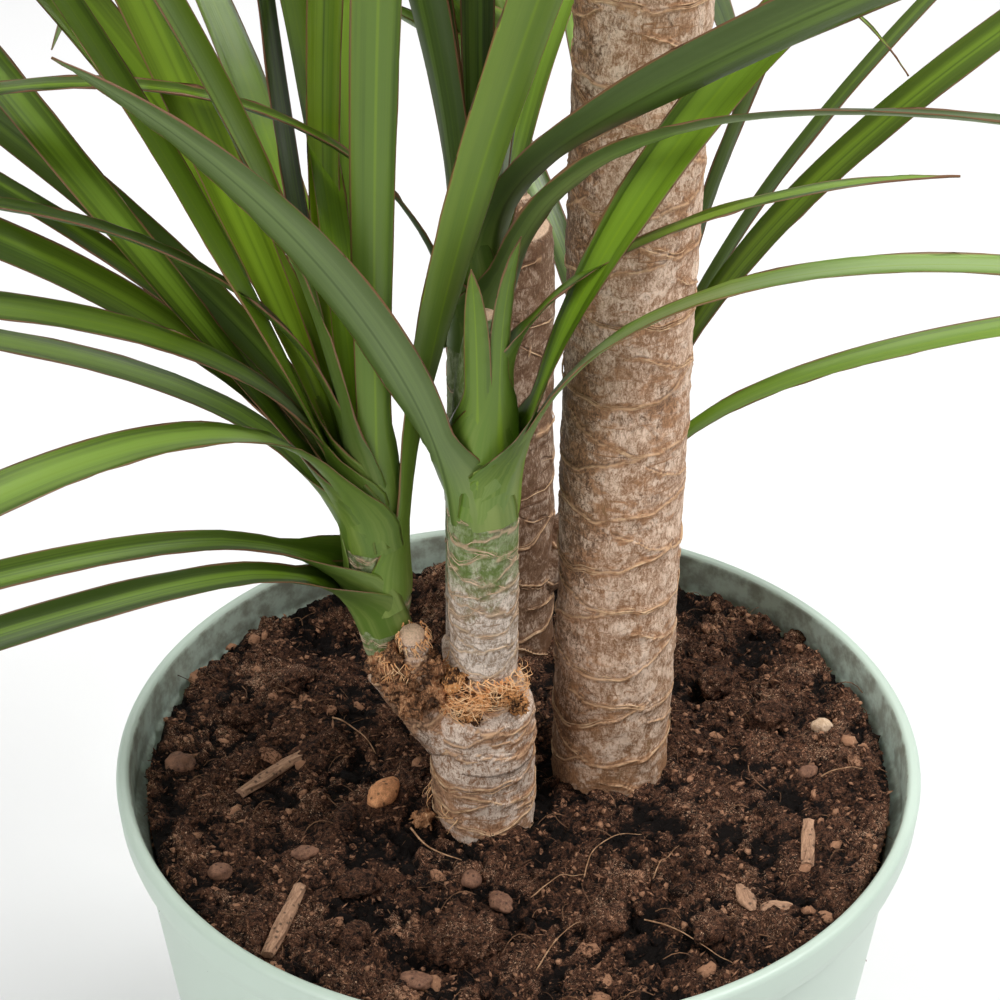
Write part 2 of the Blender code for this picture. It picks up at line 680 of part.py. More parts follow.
def build():
    """Makes every node."""
    clear_scene()
    pot_finish = material("pot_sage", (0.600, 0.700, 0.615), 0.42)
    soil_finish = material("soil_dark", (0.045, 0.022, 0.013), 0.95)
    cane_finish = material("cane_bark", (0.420, 0.340, 0.270), 0.85)
    leaf_finish = material("leaf_green", (0.075, 0.190, 0.022), 0.38)
    bark_finish = material("bark_brown", (0.230, 0.110, 0.060), 0.85)
    stone_finish = material("pebble_brown", (0.150, 0.070, 0.045), 0.80)

    pot = make_pot(pot_finish)
    canes = [
        (TALL_FOOT, TALL_RADIUS, TALL_LEAN),
        (MIDDLE_FOOT, MIDDLE_RADIUS, MIDDLE_LEAN),
        (SHORT_FOOT, SHORT_RADIUS, SHORT_LEAN),
    ]
    soil = make_soil(canes, {**BARK_PIECES, **STONE_PIECES}, soil_finish)
    for name, size in BARK_PIECES.items():
        loose_piece(name, size, 0.0, bark_finish)
    for name, size in STONE_PIECES.items():
        loose_piece(name, size, 0.0, stone_finish)

    tall_top = TALL_FOOT + TALL_LEAN.normalized() * TALL_HEIGHT
    middle_top = MIDDLE_FOOT + MIDDLE_LEAN.normalized() * MIDDLE_HEIGHT
    stubs = {
        "shoot_front": FRONT_STUB,
        "shoot_back": BACK_STUB,
        "shoot_left": LEFT_STUB,
        "shoot_right": RIGHT_STUB,
        "shoot_middle": moved_stub(MIDDLE_STUB, middle_top),
        "shoot_tall_left": moved_stub(TALL_LEFT_STUB, tall_top),
        "shoot_tall_right": moved_stub(TALL_RIGHT_STUB, tall_top),
    }
    tall = make_cane("cane_tall", TALL_FOOT, TALL_LEAN, TALL_RADIUS, TALL_HEIGHT, 11,
                     (stubs["shoot_tall_left"], stubs["shoot_tall_right"]), cane_finish)
    middle = make_cane("cane_middle", MIDDLE_FOOT, MIDDLE_LEAN, MIDDLE_RADIUS, MIDDLE_HEIGHT, 23,
                       (stubs["shoot_middle"], RIGHT_STUB), cane_finish)
    short = make_cane("cane_short", SHORT_FOOT, SHORT_LEAN, SHORT_RADIUS, SHORT_HEIGHT, 5,
                      (FRONT_STUB, BACK_STUB, LEFT_STUB, CUT_STUB), cane_finish)
    blocked = [tree_of_object(made) for made in (tall, middle, short, pot, soil)]
    make_shoots(stubs, blocked, leaf_finish)


build()
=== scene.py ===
"""Potted dracaena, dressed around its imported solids: long striped leaves that clasp their shoots, canes with
crossing leaf scars, crumbly potting soil and a satin plastic pot, on a pale floor in soft studio light.

Lengths are in metres, except in the leaf lists, which are in millimetres and degrees as in the source, and
where a heading below says millimetres.
"""
import math
import random

import bmesh
import bpy
import numpy as np
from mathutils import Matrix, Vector, noise
from mathutils.bvhtree import BVHTree


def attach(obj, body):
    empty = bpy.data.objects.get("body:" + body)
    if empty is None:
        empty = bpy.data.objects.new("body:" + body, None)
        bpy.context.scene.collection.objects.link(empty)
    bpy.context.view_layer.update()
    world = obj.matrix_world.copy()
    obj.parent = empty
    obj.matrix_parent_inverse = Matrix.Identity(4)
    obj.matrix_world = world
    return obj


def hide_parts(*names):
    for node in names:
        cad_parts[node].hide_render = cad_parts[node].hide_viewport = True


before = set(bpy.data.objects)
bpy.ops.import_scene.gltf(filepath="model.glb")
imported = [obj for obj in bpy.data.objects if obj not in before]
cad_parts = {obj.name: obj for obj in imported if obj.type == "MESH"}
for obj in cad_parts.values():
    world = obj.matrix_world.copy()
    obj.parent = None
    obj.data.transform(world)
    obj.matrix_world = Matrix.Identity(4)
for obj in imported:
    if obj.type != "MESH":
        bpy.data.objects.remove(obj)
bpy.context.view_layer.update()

MM = 0.001
GAP = 0.3 * MM

# Pot
POT_HEIGHT = 0.190
RIM_RADIUS = 0.110
LIP_HEIGHT = 0.012
LIP_FOOT_RADIUS = 0.1085
WALL_TOP_RADIUS = 0.1055
BASE_RADIUS = 0.086
BASE_BEVEL = 0.0025
POT_WALL = 0.003
POT_FLOOR = 0.005
RIM_INNER_RADIUS = 0.1062
LIP_ROUND = 0.0010
LIP_STEP = 0.0004
LIP_INSIDE_DROP = 0.004

# Soil
SOIL_TOP = 0.178
SOIL_LUMP = 0.0028
SOIL_LUMP_SIZE = 0.021
CRUMB_HEIGHT = 0.0014
CRUMB_SIZE = 0.00945
SOIL_SLICE = 0.3
CRUMB_SLICE = 4.7
SOIL_FLAT_EDGE = 0.100
SOIL_EDGE_BLEND = 0.012

# Canes: the foot is where the axis meets the soil
SAWN_BEVEL = 0.0015
TALL_FOOT = Vector((0.0258, 0.0067, SOIL_TOP))
TALL_RADIUS = 0.0165
TALL_HEIGHT = 0.540
TALL_LEAN = Vector((0.010, 0.004, 1.0))
MIDDLE_FOOT = Vector((-0.0040, 0.0665, SOIL_TOP))
MIDDLE_RADIUS = 0.0155
MIDDLE_HEIGHT = 0.135
MIDDLE_LEAN = Vector((-0.010, 0.030, 1.0))
SHORT_FOOT = Vector((-0.0093, -0.0140, SOIL_TOP))
SHORT_RADIUS = 0.0142
SHORT_HEIGHT = 0.0375
SHORT_LEAN = Vector((-0.020, 0.0, 1.0))

# Woody stubs: from inside the cane to the seat of a shoot, with the radius at each end. Those of the tall
# cane and the first of the middle cane are measured from the cane's sawn top
TALL_LEFT_STUB = (Vector((-0.004, 0.0, -0.040)), Vector((-0.024, 0.004, -0.004)), 0.0120, 0.0105)
TALL_RIGHT_STUB = (Vector((0.003, 0.0, -0.038)), Vector((0.022, -0.006, -0.001)), 0.0115, 0.0100)
MIDDLE_STUB = (Vector((0.0, 0.0, -0.034)), Vector((0.0, 0.012, 0.003)), 0.0105, 0.0095)
RIGHT_STUB = (Vector((0.0, 0.0665, 0.196)), Vector((0.0235, 0.0740, 0.2160)), 0.0090, 0.0080)
FRONT_STUB = (Vector((-0.0090, -0.0150, 0.200)), Vector((-0.0092, -0.0165, 0.2225)), 0.0135, 0.0105)
BACK_STUB = (Vector((-0.0100, -0.0060, 0.200)), Vector((-0.0125, 0.0045, 0.2225)), 0.0095, 0.0085)
LEFT_STUB = (Vector((-0.0170, -0.0145, 0.205)), Vector((-0.0345, -0.0141, 0.2270)), 0.0100, 0.0070)
CUT_STUB = (Vector((-0.0230, -0.0165, 0.215)), Vector((-0.0275, -0.0215, 0.2350)), 0.0050, 0.0036)

# Shoots: direction, height of the stem, its radius and how far it narrows at its foot
SHOOTS = {
    "shoot_front": ((0.0, 0.0, 1.0), 0.092, 0.0090, 0.98),
    "shoot_back": ((0.02, 0.04, 1.0), 0.116, 0.0076, 0.95),
    "shoot_left": ((-0.05, 0.0, 1.0), 0.056, 0.0078, 0.62),
    "shoot_right": ((0.55, 0.25, 1.0), 0.040, 0.0070, 0.92),
    "shoot_middle": ((0.03, 0.14, 1.0), 0.070, 0.0085, 0.92),
    "shoot_tall_left": ((-0.35, 0.10, 1.0), 0.110, 0.0095, 0.90),
    "shoot_tall_right": ((0.45, -0.12, 1.0), 0.090, 0.0090, 0.90),
}
STEM_SHAPE = ((0.35, 1.0), (0.75, 0.98), (1.0, 0.72))
STEM_TIP = 0.016
STEM_TIP_SHARE = 0.34

# Leaves
BLADE = 0.8 * MM
GUARD = 0.35 * MM
SAG = 26.0
SPINE_STEPS = 60
GOLDEN_ANGLE = 137.5
ROOT_SHARE = 0.78
ROOT_TAPER = 0.72
TAPER_FROM = 0.8
BASE_WIDTH = 0.85
NECK_WIDTH = 0.77
NECK_SHARE = 0.08
WIDEST_SHARE = 0.42
TIP_TAPER = 2.4
TIP_FULLNESS = 0.85
ROLLED_BY = 0.25
SPACING_POWER = 1.55
LOWEST_LEAF = 0.020
TURNS_TO_TRY = (0, 4, -4, 8, -8, 13, -13, 19, -19)
LIFTS_TO_TRY = (0, 4, -4, 9, -9)
PLACED_SEGMENTS = 7
WHORL_SEGMENTS = 5

# Leaves set where the plant has them. Each gives the height of its root up the shoot, its heading, the slope
# at which it rises, the slope that it settles to and the length of that bend, then its length and width,
# how far its heading sways and how far its face rolls about its own length
FRONT_LEAVES = (
    (56, 214, 76, 60, 40, 160, 14.0, -18, 46),
    (58, -16, 84, -6, 80, 340, 12.0, 0, -4),
    (62, -14, 77, 28, 240, 330, 13.5, 0, 50),
    (86, -12, 92, 30, 24, 130, 7.0, 0, 0),
    (66, 262, 90, 88, 90, 62, 7.0, 0, 0),
    (70, 300, 90, 86, 90, 66, 6.0, 0, 0),
)
BACK_LEAVES = (
    (112, -54, 84, 36, 16, 360, 15.0, 6, -36),
    (91, -55, 80, 8, 80, 340, 12.5, 30, -14),
    (92, 200, 84, -30, 120, 290, 8.0, 0, 0),
    (104, 215, 88, 70, 90, 330, 12.5, 0, 30),
    (110, 150, 88, 74, 90, 300, 11.0, 0, 0),
    (96, 30, 86, 62, 120, 280, 12.0, 0, -40),
    (88, 70, 74, 10, 90, 260, 11.0, 0, 0),
    (112, 90, 86, 74, 90, 220, 9.0, 0, 0),
)
LEFT_LEAVES = (
    (16, 213, 70, 1, 24, 300, 11.5, -10, -12),
    (22, 196, 64, -5, 26, 310, 10.5, 4, -14),
    (42, 226, 82, -5, 54, 320, 15.5, 0, 0),
    (26, 0, 88, 74, 60, 330, 14.0, -76, -30),
    (48, 196, 80, 10, 58, 300, 11.0, 0, -12),
    (43, 186, 70, 16, 90, 320, 13.0, 0, -22),
    (46, 176, 70, 30, 60, 300, 8.0, 0, -15),
    (48, 170, 76, 42, 32, 320, 12.0, 0, -30),
    (46, 192, 58, 58, 60, 310, 10.0, -56, -30),
    (52, 162, 80, 46, 80, 340, 14.0, 0, -45),
    (54, 212, 86, 66, 60, 360, 16.0, 0, -35),
    (57, 204, 88, 2, 90, 300, 8.0, 0, 0),
    (50, 290, 88, 82, 90, 340, 12.0, 0, 0),
    (56, 120, 88, 78, 90, 320, 13.0, 0, 30),
    (42, 160, 62, 0, 34, 300, 11.0, 0, 0),
    (30, 110, 70, 20, 70, 290, 11.0, 0, 0),
    (44, 95, 76, 48, 70, 300, 12.0, 0, 0),
    (55, 179, 72, 71, 85, 320, 12.5, -40, -40),
    (51, 134, 66, 95, 83, 320, 12.0, 38, 20),
    (55, 120, 58, 118, 78, 320, 9.0, -20, 0),
    (51, 205, 68, 69, 160, 320, 10.0, 4, -40),
)
RIGHT_LEAVES = (
    (8, -2, 62, 13, 42, 300, 12.0, 0, 0),
    (18, 2, 86, 42, 60, 330, 12.5, 0, 22),
    (24, 22, 86, 46, 50, 320, 10.0, 0, -12),
    (27, 34, 88, 62, 60, 300, 10.0, 0, -20),
    (14, 80, 68, 8, 70, 280, 11.0, 0, 0),
    (22, 100, 80, 30, 70, 300, 11.0, 0, 0),
    (17, 120, 76, 30, 70, 260, 10.0, 0, 0),
    (30, 70, 88, 70, 80, 240, 9.0, 0, 0),
)
MIDDLE_LEAVES = (
    (46, 0, 70, -38, 50, 126, 9.0, 0, 0),
    (60, 150, 84, 44, 80, 300, 12.0, 0, -20),
)

# Leaves that follow a spiral: count, lowest and highest root and seed, then length, width and the headings
# that they keep to, so that the crowns leave room for each other
MIDDLE_WHORL = (16, 30, 68, 3, 300.0, 12.0, (70.0, 225.0))
TALL_LEFT_WHORL = (32, 46, 110, 9, 400.0, 13.0, (75.0, 330.0))
TALL_RIGHT_WHORL = (30, 36, 90, 17, 380.0, 13.0, (-110.0, 110.0))
YOUNG_RISE = 88.0
OLD_RISE_DROP = 46.0
YOUNG_REST = 66.0
OLD_REST_DROP = 104.0
BEND_REACH = 55.0
HEADING_SCATTER = 7.0
RISE_SCATTER = 4.0
REST_SCATTER = 6.0
ROLL_SCATTER = 22.0
SHORTEST_SHARE = 0.62
LENGTH_SWELL = 0.55
LENGTH_SCATTER = (0.92, 1.05)
WIDTH_SCATTER = (0.88, 1.08)

# Pieces of bark, stone and clay lying in the soil: place, then length, width and thickness in millimetres,
# and heading
BARK_PIECES = {
    "bark_stick_left": (-0.0680, 0.0020, 26.0, 4.6, 3.4, 48),
    "bark_stick_front": (-0.0600, -0.0620, 26.0, 4.4, 3.4, 76),
    "bark_nugget": (-0.0368, -0.0115, 13.5, 9.5, 6.5, 64),
    "bark_strip_right": (0.0770, -0.0320, 18.0, 4.2, 2.8, 82),
    "bark_chip_right": (0.0585, -0.0530, 10.5, 5.6, 3.2, 106),
}
STONE_PIECES = {
    "pebble_left": (-0.0570, -0.0330, 7.6, 5.6, 4.4, 10),
    "pebble_front": (-0.0048, -0.0535, 8.6, 7.0, 4.8, 120),
    "clay_bead": (0.0872, 0.0205, 6.4, 6.0, 6.0, 0),
}
STICK_RATIO = 2.2

# Leaves as seen: sheaths that clasp the shoot, and blades
SHEATH_STEPS = 5
SHEATH_DROP = 0.005
SHEATH_LIFT = 0.0007
SHEATH_REACH = 0.014
SHEATH_SMOOTHING = 3
SHEATH_OPENS = 0.026
SHEATH_WRAP = (1.7, 2.1)
CHANNEL = (0.35, 0.75)
BLADE_HALF = 0.00036
BLADE_THINNING = 0.55
BLADE_TIP = 0.05
FLATTEST_CURL = 0.08
CLASP_START = -0.002
CLASP_END = 0.020
WAVE_HEIGHT = 0.0016
WAVE_SIZE = 0.030
PLACED_SIDES = 16
WHORL_SIDES = 10
MARGIN_WIDTH = 0.00055
VEIN_SPREAD = 0.006
SHOOT_LIGHT = {
    "shoot_front": 0.18, "shoot_back": 0.14, "shoot_left": 0.22, "shoot_right": 0.22, "shoot_middle": 0.25,
    "shoot_tall_left": 0.15, "shoot_tall_right": 0.15,
}
# Single leaves with painted light shining through them, or with a painted pale sheen, by their number in the
# lists
LEAF_LIGHT_SHARES = {
    "shoot_left": {3: 0.6, 9: 0.4, 13: 0.3, 17: 0.45, 18: 0.05, 19: 0.8, 20: 0.15},
    "shoot_middle": {1: 0.7},
}
LEAF_PAINTED_SHEEN_SHARES = {
    "shoot_front": {0: 0.50, 1: 0.60},
    "shoot_back": {0: 0.20, 1: 0.25},
    "shoot_left": {2: 0.14, 7: 0.14, 10: 0.20},
}
OWN_LIGHT = (0.4, 1.5)
FAINT_PAINTED_SHEEN = 0.03
BLOCKING_NODES = ("cane_tall", "cane_middle", "cane_short", "pot", "soil")

# Canes and stems as seen
SCAR_WOBBLE = 0.0008
SCAR_TURN = 14.0
RISE_SPREAD = (0.65, 1.25)
PITCH_SPREAD = (0.70, 1.35)
SCAR_THIN = 0.00050
SCAR_WIDE = 0.0014
FLOW_REACH = 0.006
SCAR_BREAKS = 2.6 * MM
SCAR_ENDS = (-0.45, 0.05)
SCAR_GIRTH = 0.00026
STEM_SCAR_GIRTH = 0.00015
THINNEST_STRAND = 0.00003
SCAR_FULLNESS = 0.75
SCAR_SWING = 1.3
SCAR_FULL_RANGE = (0.05, 1.3)
# How far round a scar its fibre runs, and the reach, turn, offset and girth of the thinner ones beside it
SCAR_REACH = 0.56
SIDE_REACH = (0.15, 0.45)
SIDE_TURN = 0.7
SIDE_OFFSET = 1.3
SIDE_GIRTH = (0.35, 0.7)
SEAT_BLEND = 0.018
SCAR_MARGIN = 0.004
BARK_SHARE = 0.985
BARK_LUMP_SIZE = 0.007
BARK_CRUMPLE_SIZE = 0.0021
BARK_DEPTH = 0.00070
STEM_DEPTH = 0.00028
CANE_BURIED = 0.008
SEEN_STEP = 0.0009
FAR_STEP = 0.0030
STEM_STEP = 0.0009
STEM_FAR_STEP = 0.0020
STEMS_SEEN = ("shoot_front", "shoot_left")
TALL_SEED = 11
MIDDLE_SEED = 23
SHORT_SEED = 5
FIRST_STEM_SEED = 31
SAWN_SEED = 77
TALL_SEEN = 0.270
MIDDLE_SEEN = 0.045
TALL_PITCH = 0.0066
TALL_RISE = 0.0130
SHORT_PITCH = 0.0026
SHORT_RISE = 0.0085
STUB_PITCH = 0.0030
STUB_RISE = 0.0050
STUB_RINGS = 26
CANE_FINE_SIDES = 100
STEM_FINE_SIDES = 56
STEM_LOOKS = {
    "shoot_front": (0.032, 0.0021, 0.0075),
    "shoot_back": (0.016, 0.0060, 0.0050),
    "shoot_left": (0.003, 0.0034, 0.0050),
    "shoot_right": (0.010, 0.0040, 0.0040),
    "shoot_middle": (0.020, 0.0045, 0.0045),
    "shoot_tall_left": (0.030, 0.0050, 0.0050),
    "shoot_tall_right": (0.030, 0.0050, 0.0050),
}

# Dead tissue at the forks of the short cane, in millimetres: place and half sizes of each lump
RAGGED_LEVELS = 4
RAGGED_GRAIN = 2.1
RAGGED_DEPTH = 0.55
RAGGED_LUMPS = {
    "collar": (
        (-16, -23.6, 227, 3.6, 2, 3.4),
        (-9.5, -25.6, 222.6, 4.8, 2.2, 3),
        (-1.5, -23.8, 220, 3.8, 2, 3),
        (-12.5, -26, 218.4, 4, 2, 2.4),
        (-3.5, -25, 223.5, 4, 2, 2.6),
    ),
    "knob": (
        (-31.5, -20.5, 232.5, 3.8, 3.8, 4.4),
        (-31.2, -21, 226, 5.6, 5, 5.2),
        (-27.5, -22, 220, 4.8, 4.2, 4.4),
        (-36.2, -17.5, 228.5, 3.8, 3.8, 5),
        (-23.5, -21, 229, 3.6, 3.8, 5.2),
        (-22.5, -23, 223, 3.4, 3, 3.8),
        (-25.8, -21.5, 179.5, 2.6, 2, 3),
    ),
}
# Flakes over these lumps, in metres
RAGGED_FLAKES = {
    "Density": 300000.0, "Smallest": 0.0008, "Largest": 0.0030, "Rarity": 2.0, "Segments": 5, "Rings": 2,
    "Roughness": 0.5, "Grain_Size": 0.0012, "Sinking": 0.0, "Slimness": 0.6, "Seed": 4,
}
# End of the small sawn stub beside the knob, in millimetres: foot, axis, length and radius
SAWN_END = (Vector((-26.6, -18.6, 232.5)), Vector((-0.08, -0.42, 0.90)), 10.0, 3.5)
SAWN_RINGS = 14
SAWN_SIDES = 48
FRAY_STEPS = 9
# Fibres that hang round a fork, in millimetres but for their girth: place, axis, ring radius, count, fall,
# spread, headings round the axis, girth, and drift round it
FRAYS = (
    ((-9.2, -16.5, 226.5), (0, 0, 1), 9.4, 150, (1, 6), (0.4, 3.6), (-200, -10), 0.00020, 0.9),
    ((-11, -17.5, 222), (-0.25, 0.10, 1), 10.2, 110, (0.5, 5), (0.2, 2.4), (-190, -60), 0.00018, 1.3),
    ((-9, -15.5, 221), (0.15, 0, 1), 11, 36, (-1, 2), (0.2, 1), (-95, -5), 0.00020, 1.6),
    ((-27.2, -22.2, 240.5), (-0.08, -0.42, 0.90), 3.6, 60, (1, 6), (0.1, 1.2), (-180, 180), 0.00024, 0.4),
    ((-31, -20, 232), (0.1, -0.2, 1), 4.8, 60, (1, 8), (0.4, 1.8), (-200, 20), 0.00020, 0.8),
    ((-9.4, -14, 182), (0, 0, 1), 14.2, 14, (2, 5), (0.5, 3), (-240, -100), 0.00018, 0.5),
)

# Pot as seen
POT_FINE_SIDES = 192
POT_ROUNDING = 0.0008

# Soil as seen: clods over the source's surface, banked up at the wall, then layers of crumbs and fibres
SOIL_CELLS = 190
SOIL_BANK = 0.0036
SOIL_BANK_REACH = (0.080, 0.101)
SOIL_SWELL = (0.0120, 0.0030)
SOIL_CLODS = ((0.0075, 0.0024), (0.0038, 0.0014), (0.0021, 0.0007))
SOIL_CRACK = 0.34
SOIL_WARP = 0.35
NOISE_SEED = 4
# How deep a hollow lies where painted shade in the soil starts and where it is full
SOIL_SHADE_DEPTHS = (0.0004, 0.0026)
SOIL_LAYERS = (
    ("grit", "crumbs", {
        "Density": 125000.0, "Smallest": 0.0006, "Largest": 0.0026, "Rarity": 2.4, "Segments": 5, "Rings": 2,
        "Roughness": 0.7, "Grain_Size": 0.0012, "Sinking": 0.0, "Slimness": 0.0, "Seed": 3}),
    ("flakes", "crumbs", {
        "Density": 135000.0, "Smallest": 0.0009, "Largest": 0.0034, "Rarity": 2.6, "Segments": 4, "Rings": 2,
        "Roughness": 0.4, "Grain_Size": 0.0016, "Sinking": -0.12, "Slimness": 0.70, "Seed": 14}),
    ("lumps", "crumbs", {
        "Density": 11000.0, "Smallest": 0.0024, "Largest": 0.0070, "Rarity": 2.6, "Segments": 7, "Rings": 5,
        "Roughness": 0.75, "Grain_Size": 0.0024, "Sinking": 0.10, "Slimness": 0.1, "Seed": 8}),
    ("fibres", "fibres", {
        "Density": 12000.0, "Shortest": 0.0020, "Longest": 0.0100, "Girth": 0.016, "Seed": 5}),
)
# Larger clods, pebbles and chips, in millimetres: place, length, width, height, heading, look
SOIL_STONES = (
    (-94, 1, 9, 8, 6, 60, "stone"),
    (-88, -35, 9, 7, 6, 100, "peat"),
    (-78.5, -43, 6, 5.6, 4.5, 0, "stone"),
    (-47, -22, 11, 5, 5, 80, "peat"),
    (-42, -47, 12, 9, 5, 20, "peat"),
    (-42, -69, 10, 6, 5, 70, "peat"),
    (-26, -82.5, 8.5, 6, 4.5, 10, "stone"),
    (-12.5, -46.5, 5.6, 4.8, 4.2, 30, "stone"),
    (-12.5, -69, 20, 16, 9, 15, "peat"),
    (84, 61, 7, 6, 6, 20, "peat"),
    (73, 24, 12, 10, 8, 20, "peat"),
    (81, 0, 6, 4, 3.6, 20, "stone"),
    (66, -55, 8.6, 4.4, 1.8, 12, "bark"),
    (58, 40, 11, 9, 8, 60, "peat"),
    (44, 60, 13, 9, 8, 0, "peat"),
    (-66, 40, 12, 9, 7, 40, "peat"),
    (-80, 24, 9, 8, 6, 0, "peat"),
    (22, -62, 13, 11, 7, 50, "peat"),
    (48, -66, 11, 9, 6, 100, "peat"),
)
LARGE_STONE = 15.0
STONE_GRAIN = 3.2
STONE_SINKING = 0.22
STONE_SWELL = 0.22
STONE_ROUGHNESS = {"peat": 0.20, "stone": 0.07, "bark": 0.06}
ROOT_LIFT = 0.0015
ROOT_GAP = 0.0008
ROOT_SMOOTHING = 3
# Root ends on the soil, in millimetres: girth, then the places that each passes
ROOT_ENDS = (
    (0.20, ((17, -46), (19, -38), (23, -33), (28, -29), (33, -27))),
    (0.20, ((4, -79), (7, -73), (11, -67), (15, -63), (19, -61))),
    (0.21, ((32, -60), (38, -64), (43, -69), (48, -73), (53, -77))),
    (0.18, ((3, -52), (8, -49), (13, -47), (17, -45))),
    (0.26, ((-53, 22), (-48, 19), (-43, 14), (-40, 9))),
    (0.32, ((-29, -26), (-25, -33), (-21, -36), (-15, -38))),
    (0.24, ((84, -4), (90, -5), (96, -3))),
    (0.18, ((35, -46), (39, -38), (43, -30))),
)
# Loose pieces as seen: how often their faces are divided, the relief on them in millimetres, and their looks
PIECE_LEVELS = 3
PIECE_RELIEF = (0.22, 0.25)
PIECE_LOOKS = {
    "bark_stick_left": "bark", "bark_stick_front": "bark", "bark_nugget": "nugget",
    "bark_strip_right": "bark", "bark_chip_right": "bark",
    "pebble_left": "stone", "pebble_front": "stone", "clay_bead": "bead",
}

# Colours, linear
LEAF_DARK = (0.018, 0.038, 0.0015)
LEAF_LIGHT = (0.150, 0.265, 0.012)
LEAF_LIT = (0.140, 0.275, 0.002)
LEAF_YELLOW = (0.300, 0.440, 0.008)
LEAF_UNDER = (0.075, 0.120, 0.030)
LEAF_RIB = (0.210, 0.330, 0.012)
LEAF_MARGIN = (0.240, 0.095, 0.055)
LEAF_PAINTED_SHEEN = (0.340, 0.440, 0.230)
CLASP_GREEN = (0.120, 0.215, 0.020)
CLASP_PALE = (0.300, 0.380, 0.090)
BARK_GREY = (0.715, 0.510, 0.372)
BARK_BROWN = (0.460, 0.225, 0.100)
BARK_CREVICE = (0.110, 0.060, 0.035)
BARK_BLOOM = (0.950, 0.770, 0.625)
SHORT_GREY = (0.900, 0.740, 0.620)
SHORT_BROWN = (0.540, 0.270, 0.130)
MIDDLE_GREY = (0.300, 0.180, 0.110)
MIDDLE_BROWN = (0.180, 0.085, 0.040)
SCAR_PALE = (0.640, 0.390, 0.225)
STEM_GREY = (0.820, 0.720, 0.640)
STEM_TAN = (0.400, 0.260, 0.160)
STEM_SCAR = (0.560, 0.400, 0.260)
STEM_CREVICE = (0.200, 0.140, 0.090)
STEM_GREEN = (0.125, 0.180, 0.040)
STEM_PALE = (0.340, 0.390, 0.215)
SOIL_DARK = (0.0050, 0.0024, 0.0015)
SOIL_BROWN = (0.200, 0.086, 0.047)
SOIL_RUST = (0.640, 0.330, 0.190)
SOIL_SPECK = (0.920, 0.600, 0.390)
POT_SAGE = (0.480, 0.585, 0.500)
POT_PALE = (0.570, 0.660, 0.585)
POT_SMUDGE_AND_SHADE = (0.140, 0.115, 0.080)
SAWN_PALE = (0.780, 0.540, 0.375)
SAWN_GREY = (0.560, 0.385, 0.270)
COLLAR_ORANGE = (0.820, 0.365, 0.125)
COLLAR_PALE = (0.950, 0.660, 0.380)
FLOOR_PALE = (0.765, 0.765, 0.765)
FLOOR_WHITE = (0.772, 0.772, 0.772)
# Where the bark turns darker and browner toward its left: X falls from the second limit to the first, as this
# grows to full. On the tall cane it is partly a real stain and partly painted shade
STAINED_AND_SHADED_SIDE = (0.010, 0.024)
STAINED_STUB = (-0.027, -0.019)
UNSTAINED = (-2.0, -1.0)
# Finishes by their short names: the material's name and its colours from dark to pale
FIBRE_FINISHES = {
    "fray": ("frayed_fibre", COLLAR_ORANGE, COLLAR_PALE),
    "fibre": ("scar_fibre", (0.340, 0.180, 0.085), (0.680, 0.470, 0.290)),
    "line": ("stem_scar_fibre", (0.420, 0.255, 0.150), (0.800, 0.600, 0.430)),
    "fibre_dark": ("coir_fibre", (0.070, 0.032, 0.016), (0.260, 0.130, 0.065)),
    "root": ("root_fibre", (0.230, 0.115, 0.055), (0.520, 0.310, 0.175)),
}
SHAGGY_FINISHES = {
    "collar": ("collar_fibrous", (0.060, 0.026, 0.012), COLLAR_ORANGE, COLLAR_PALE),
    "knob": ("knob_flaky", (0.060, 0.028, 0.014), (0.480, 0.220, 0.100), (0.800, 0.500, 0.280)),
}
# The same, then how the grain is stretched along, across and up the piece, and how close its pits lie
PIECE_FINISHES = {
    "bark": ("bark_weathered", (0.190, 0.098, 0.056), (0.560, 0.330, 0.205), (0.30, 1.4, 1.4), 0.5),
    "nugget": ("bark_nugget_brown", (0.380, 0.150, 0.062), (0.900, 0.430, 0.200), (0.8, 1.0, 1.0), 0.45),
    "stone": ("pebble_rough", (0.100, 0.045, 0.028), (0.310, 0.155, 0.092), (1.0, 1.0, 1.0), 0.6),
    "bead": ("clay_cream", (0.420, 0.270, 0.160), (0.800, 0.600, 0.430), (1.0, 1.0, 1.0), 0.25),
}

# Stage
FLOOR_SIZE = 12.0
WORLD_COLOUR = (1.0, 1.0, 1.0)
WORLD_STRENGTH = 0.46
LIGHTS = (
    ("key", (1.2, -0.1, 2.1), (0.0, 0.0, 0.25), 0.8, 46.0),
    ("fill", (-1.4, -1.4, 1.7), (0.0, 0.0, 0.25), 1.4, 30.0),
    ("back", (-0.2, 1.3, 2.2), (0.0, 0.0, 0.3), 1.4, 18.0),
)
CAMERA_PLACE = (-0.005, -0.4855, 0.571)
CAMERA_TILT = 58.0
CAMERA_LENS = 80.0
CAMERA_SENSOR = 36.0


class Socket:
    """An output in a node tree. Arithmetic on it adds Math nodes to the tree."""

    def __init__(self, nodes, output):
        self.nodes = nodes
        self.output = output

    def math(self, operation, *others):
        values = dict(enumerate((self, *others)))
        return self.nodes.add("ShaderNodeMath", {"operation": operation}, values)

    def __add__(self, other):
        return self.math("ADD", other)

    def __mul__(self, other):
        return self.math("MULTIPLY", other)

    def __sub__(self, other):
        return self.math("SUBTRACT", other)

    def __rsub__(self, other):
        return self.math("MULTIPLY_ADD", -1.0, other)

    def __truediv__(self, other):
        return self.math("DIVIDE", other)

    def __pow__(self, other):
        return self.math("POWER", other)

    def __abs__(self):
        return self.math("ABSOLUTE")

    def __rtruediv__(self, other):
        return self.math("POWER", -1.0) * other

    __radd__ = __add__
    __rmul__ = __mul__


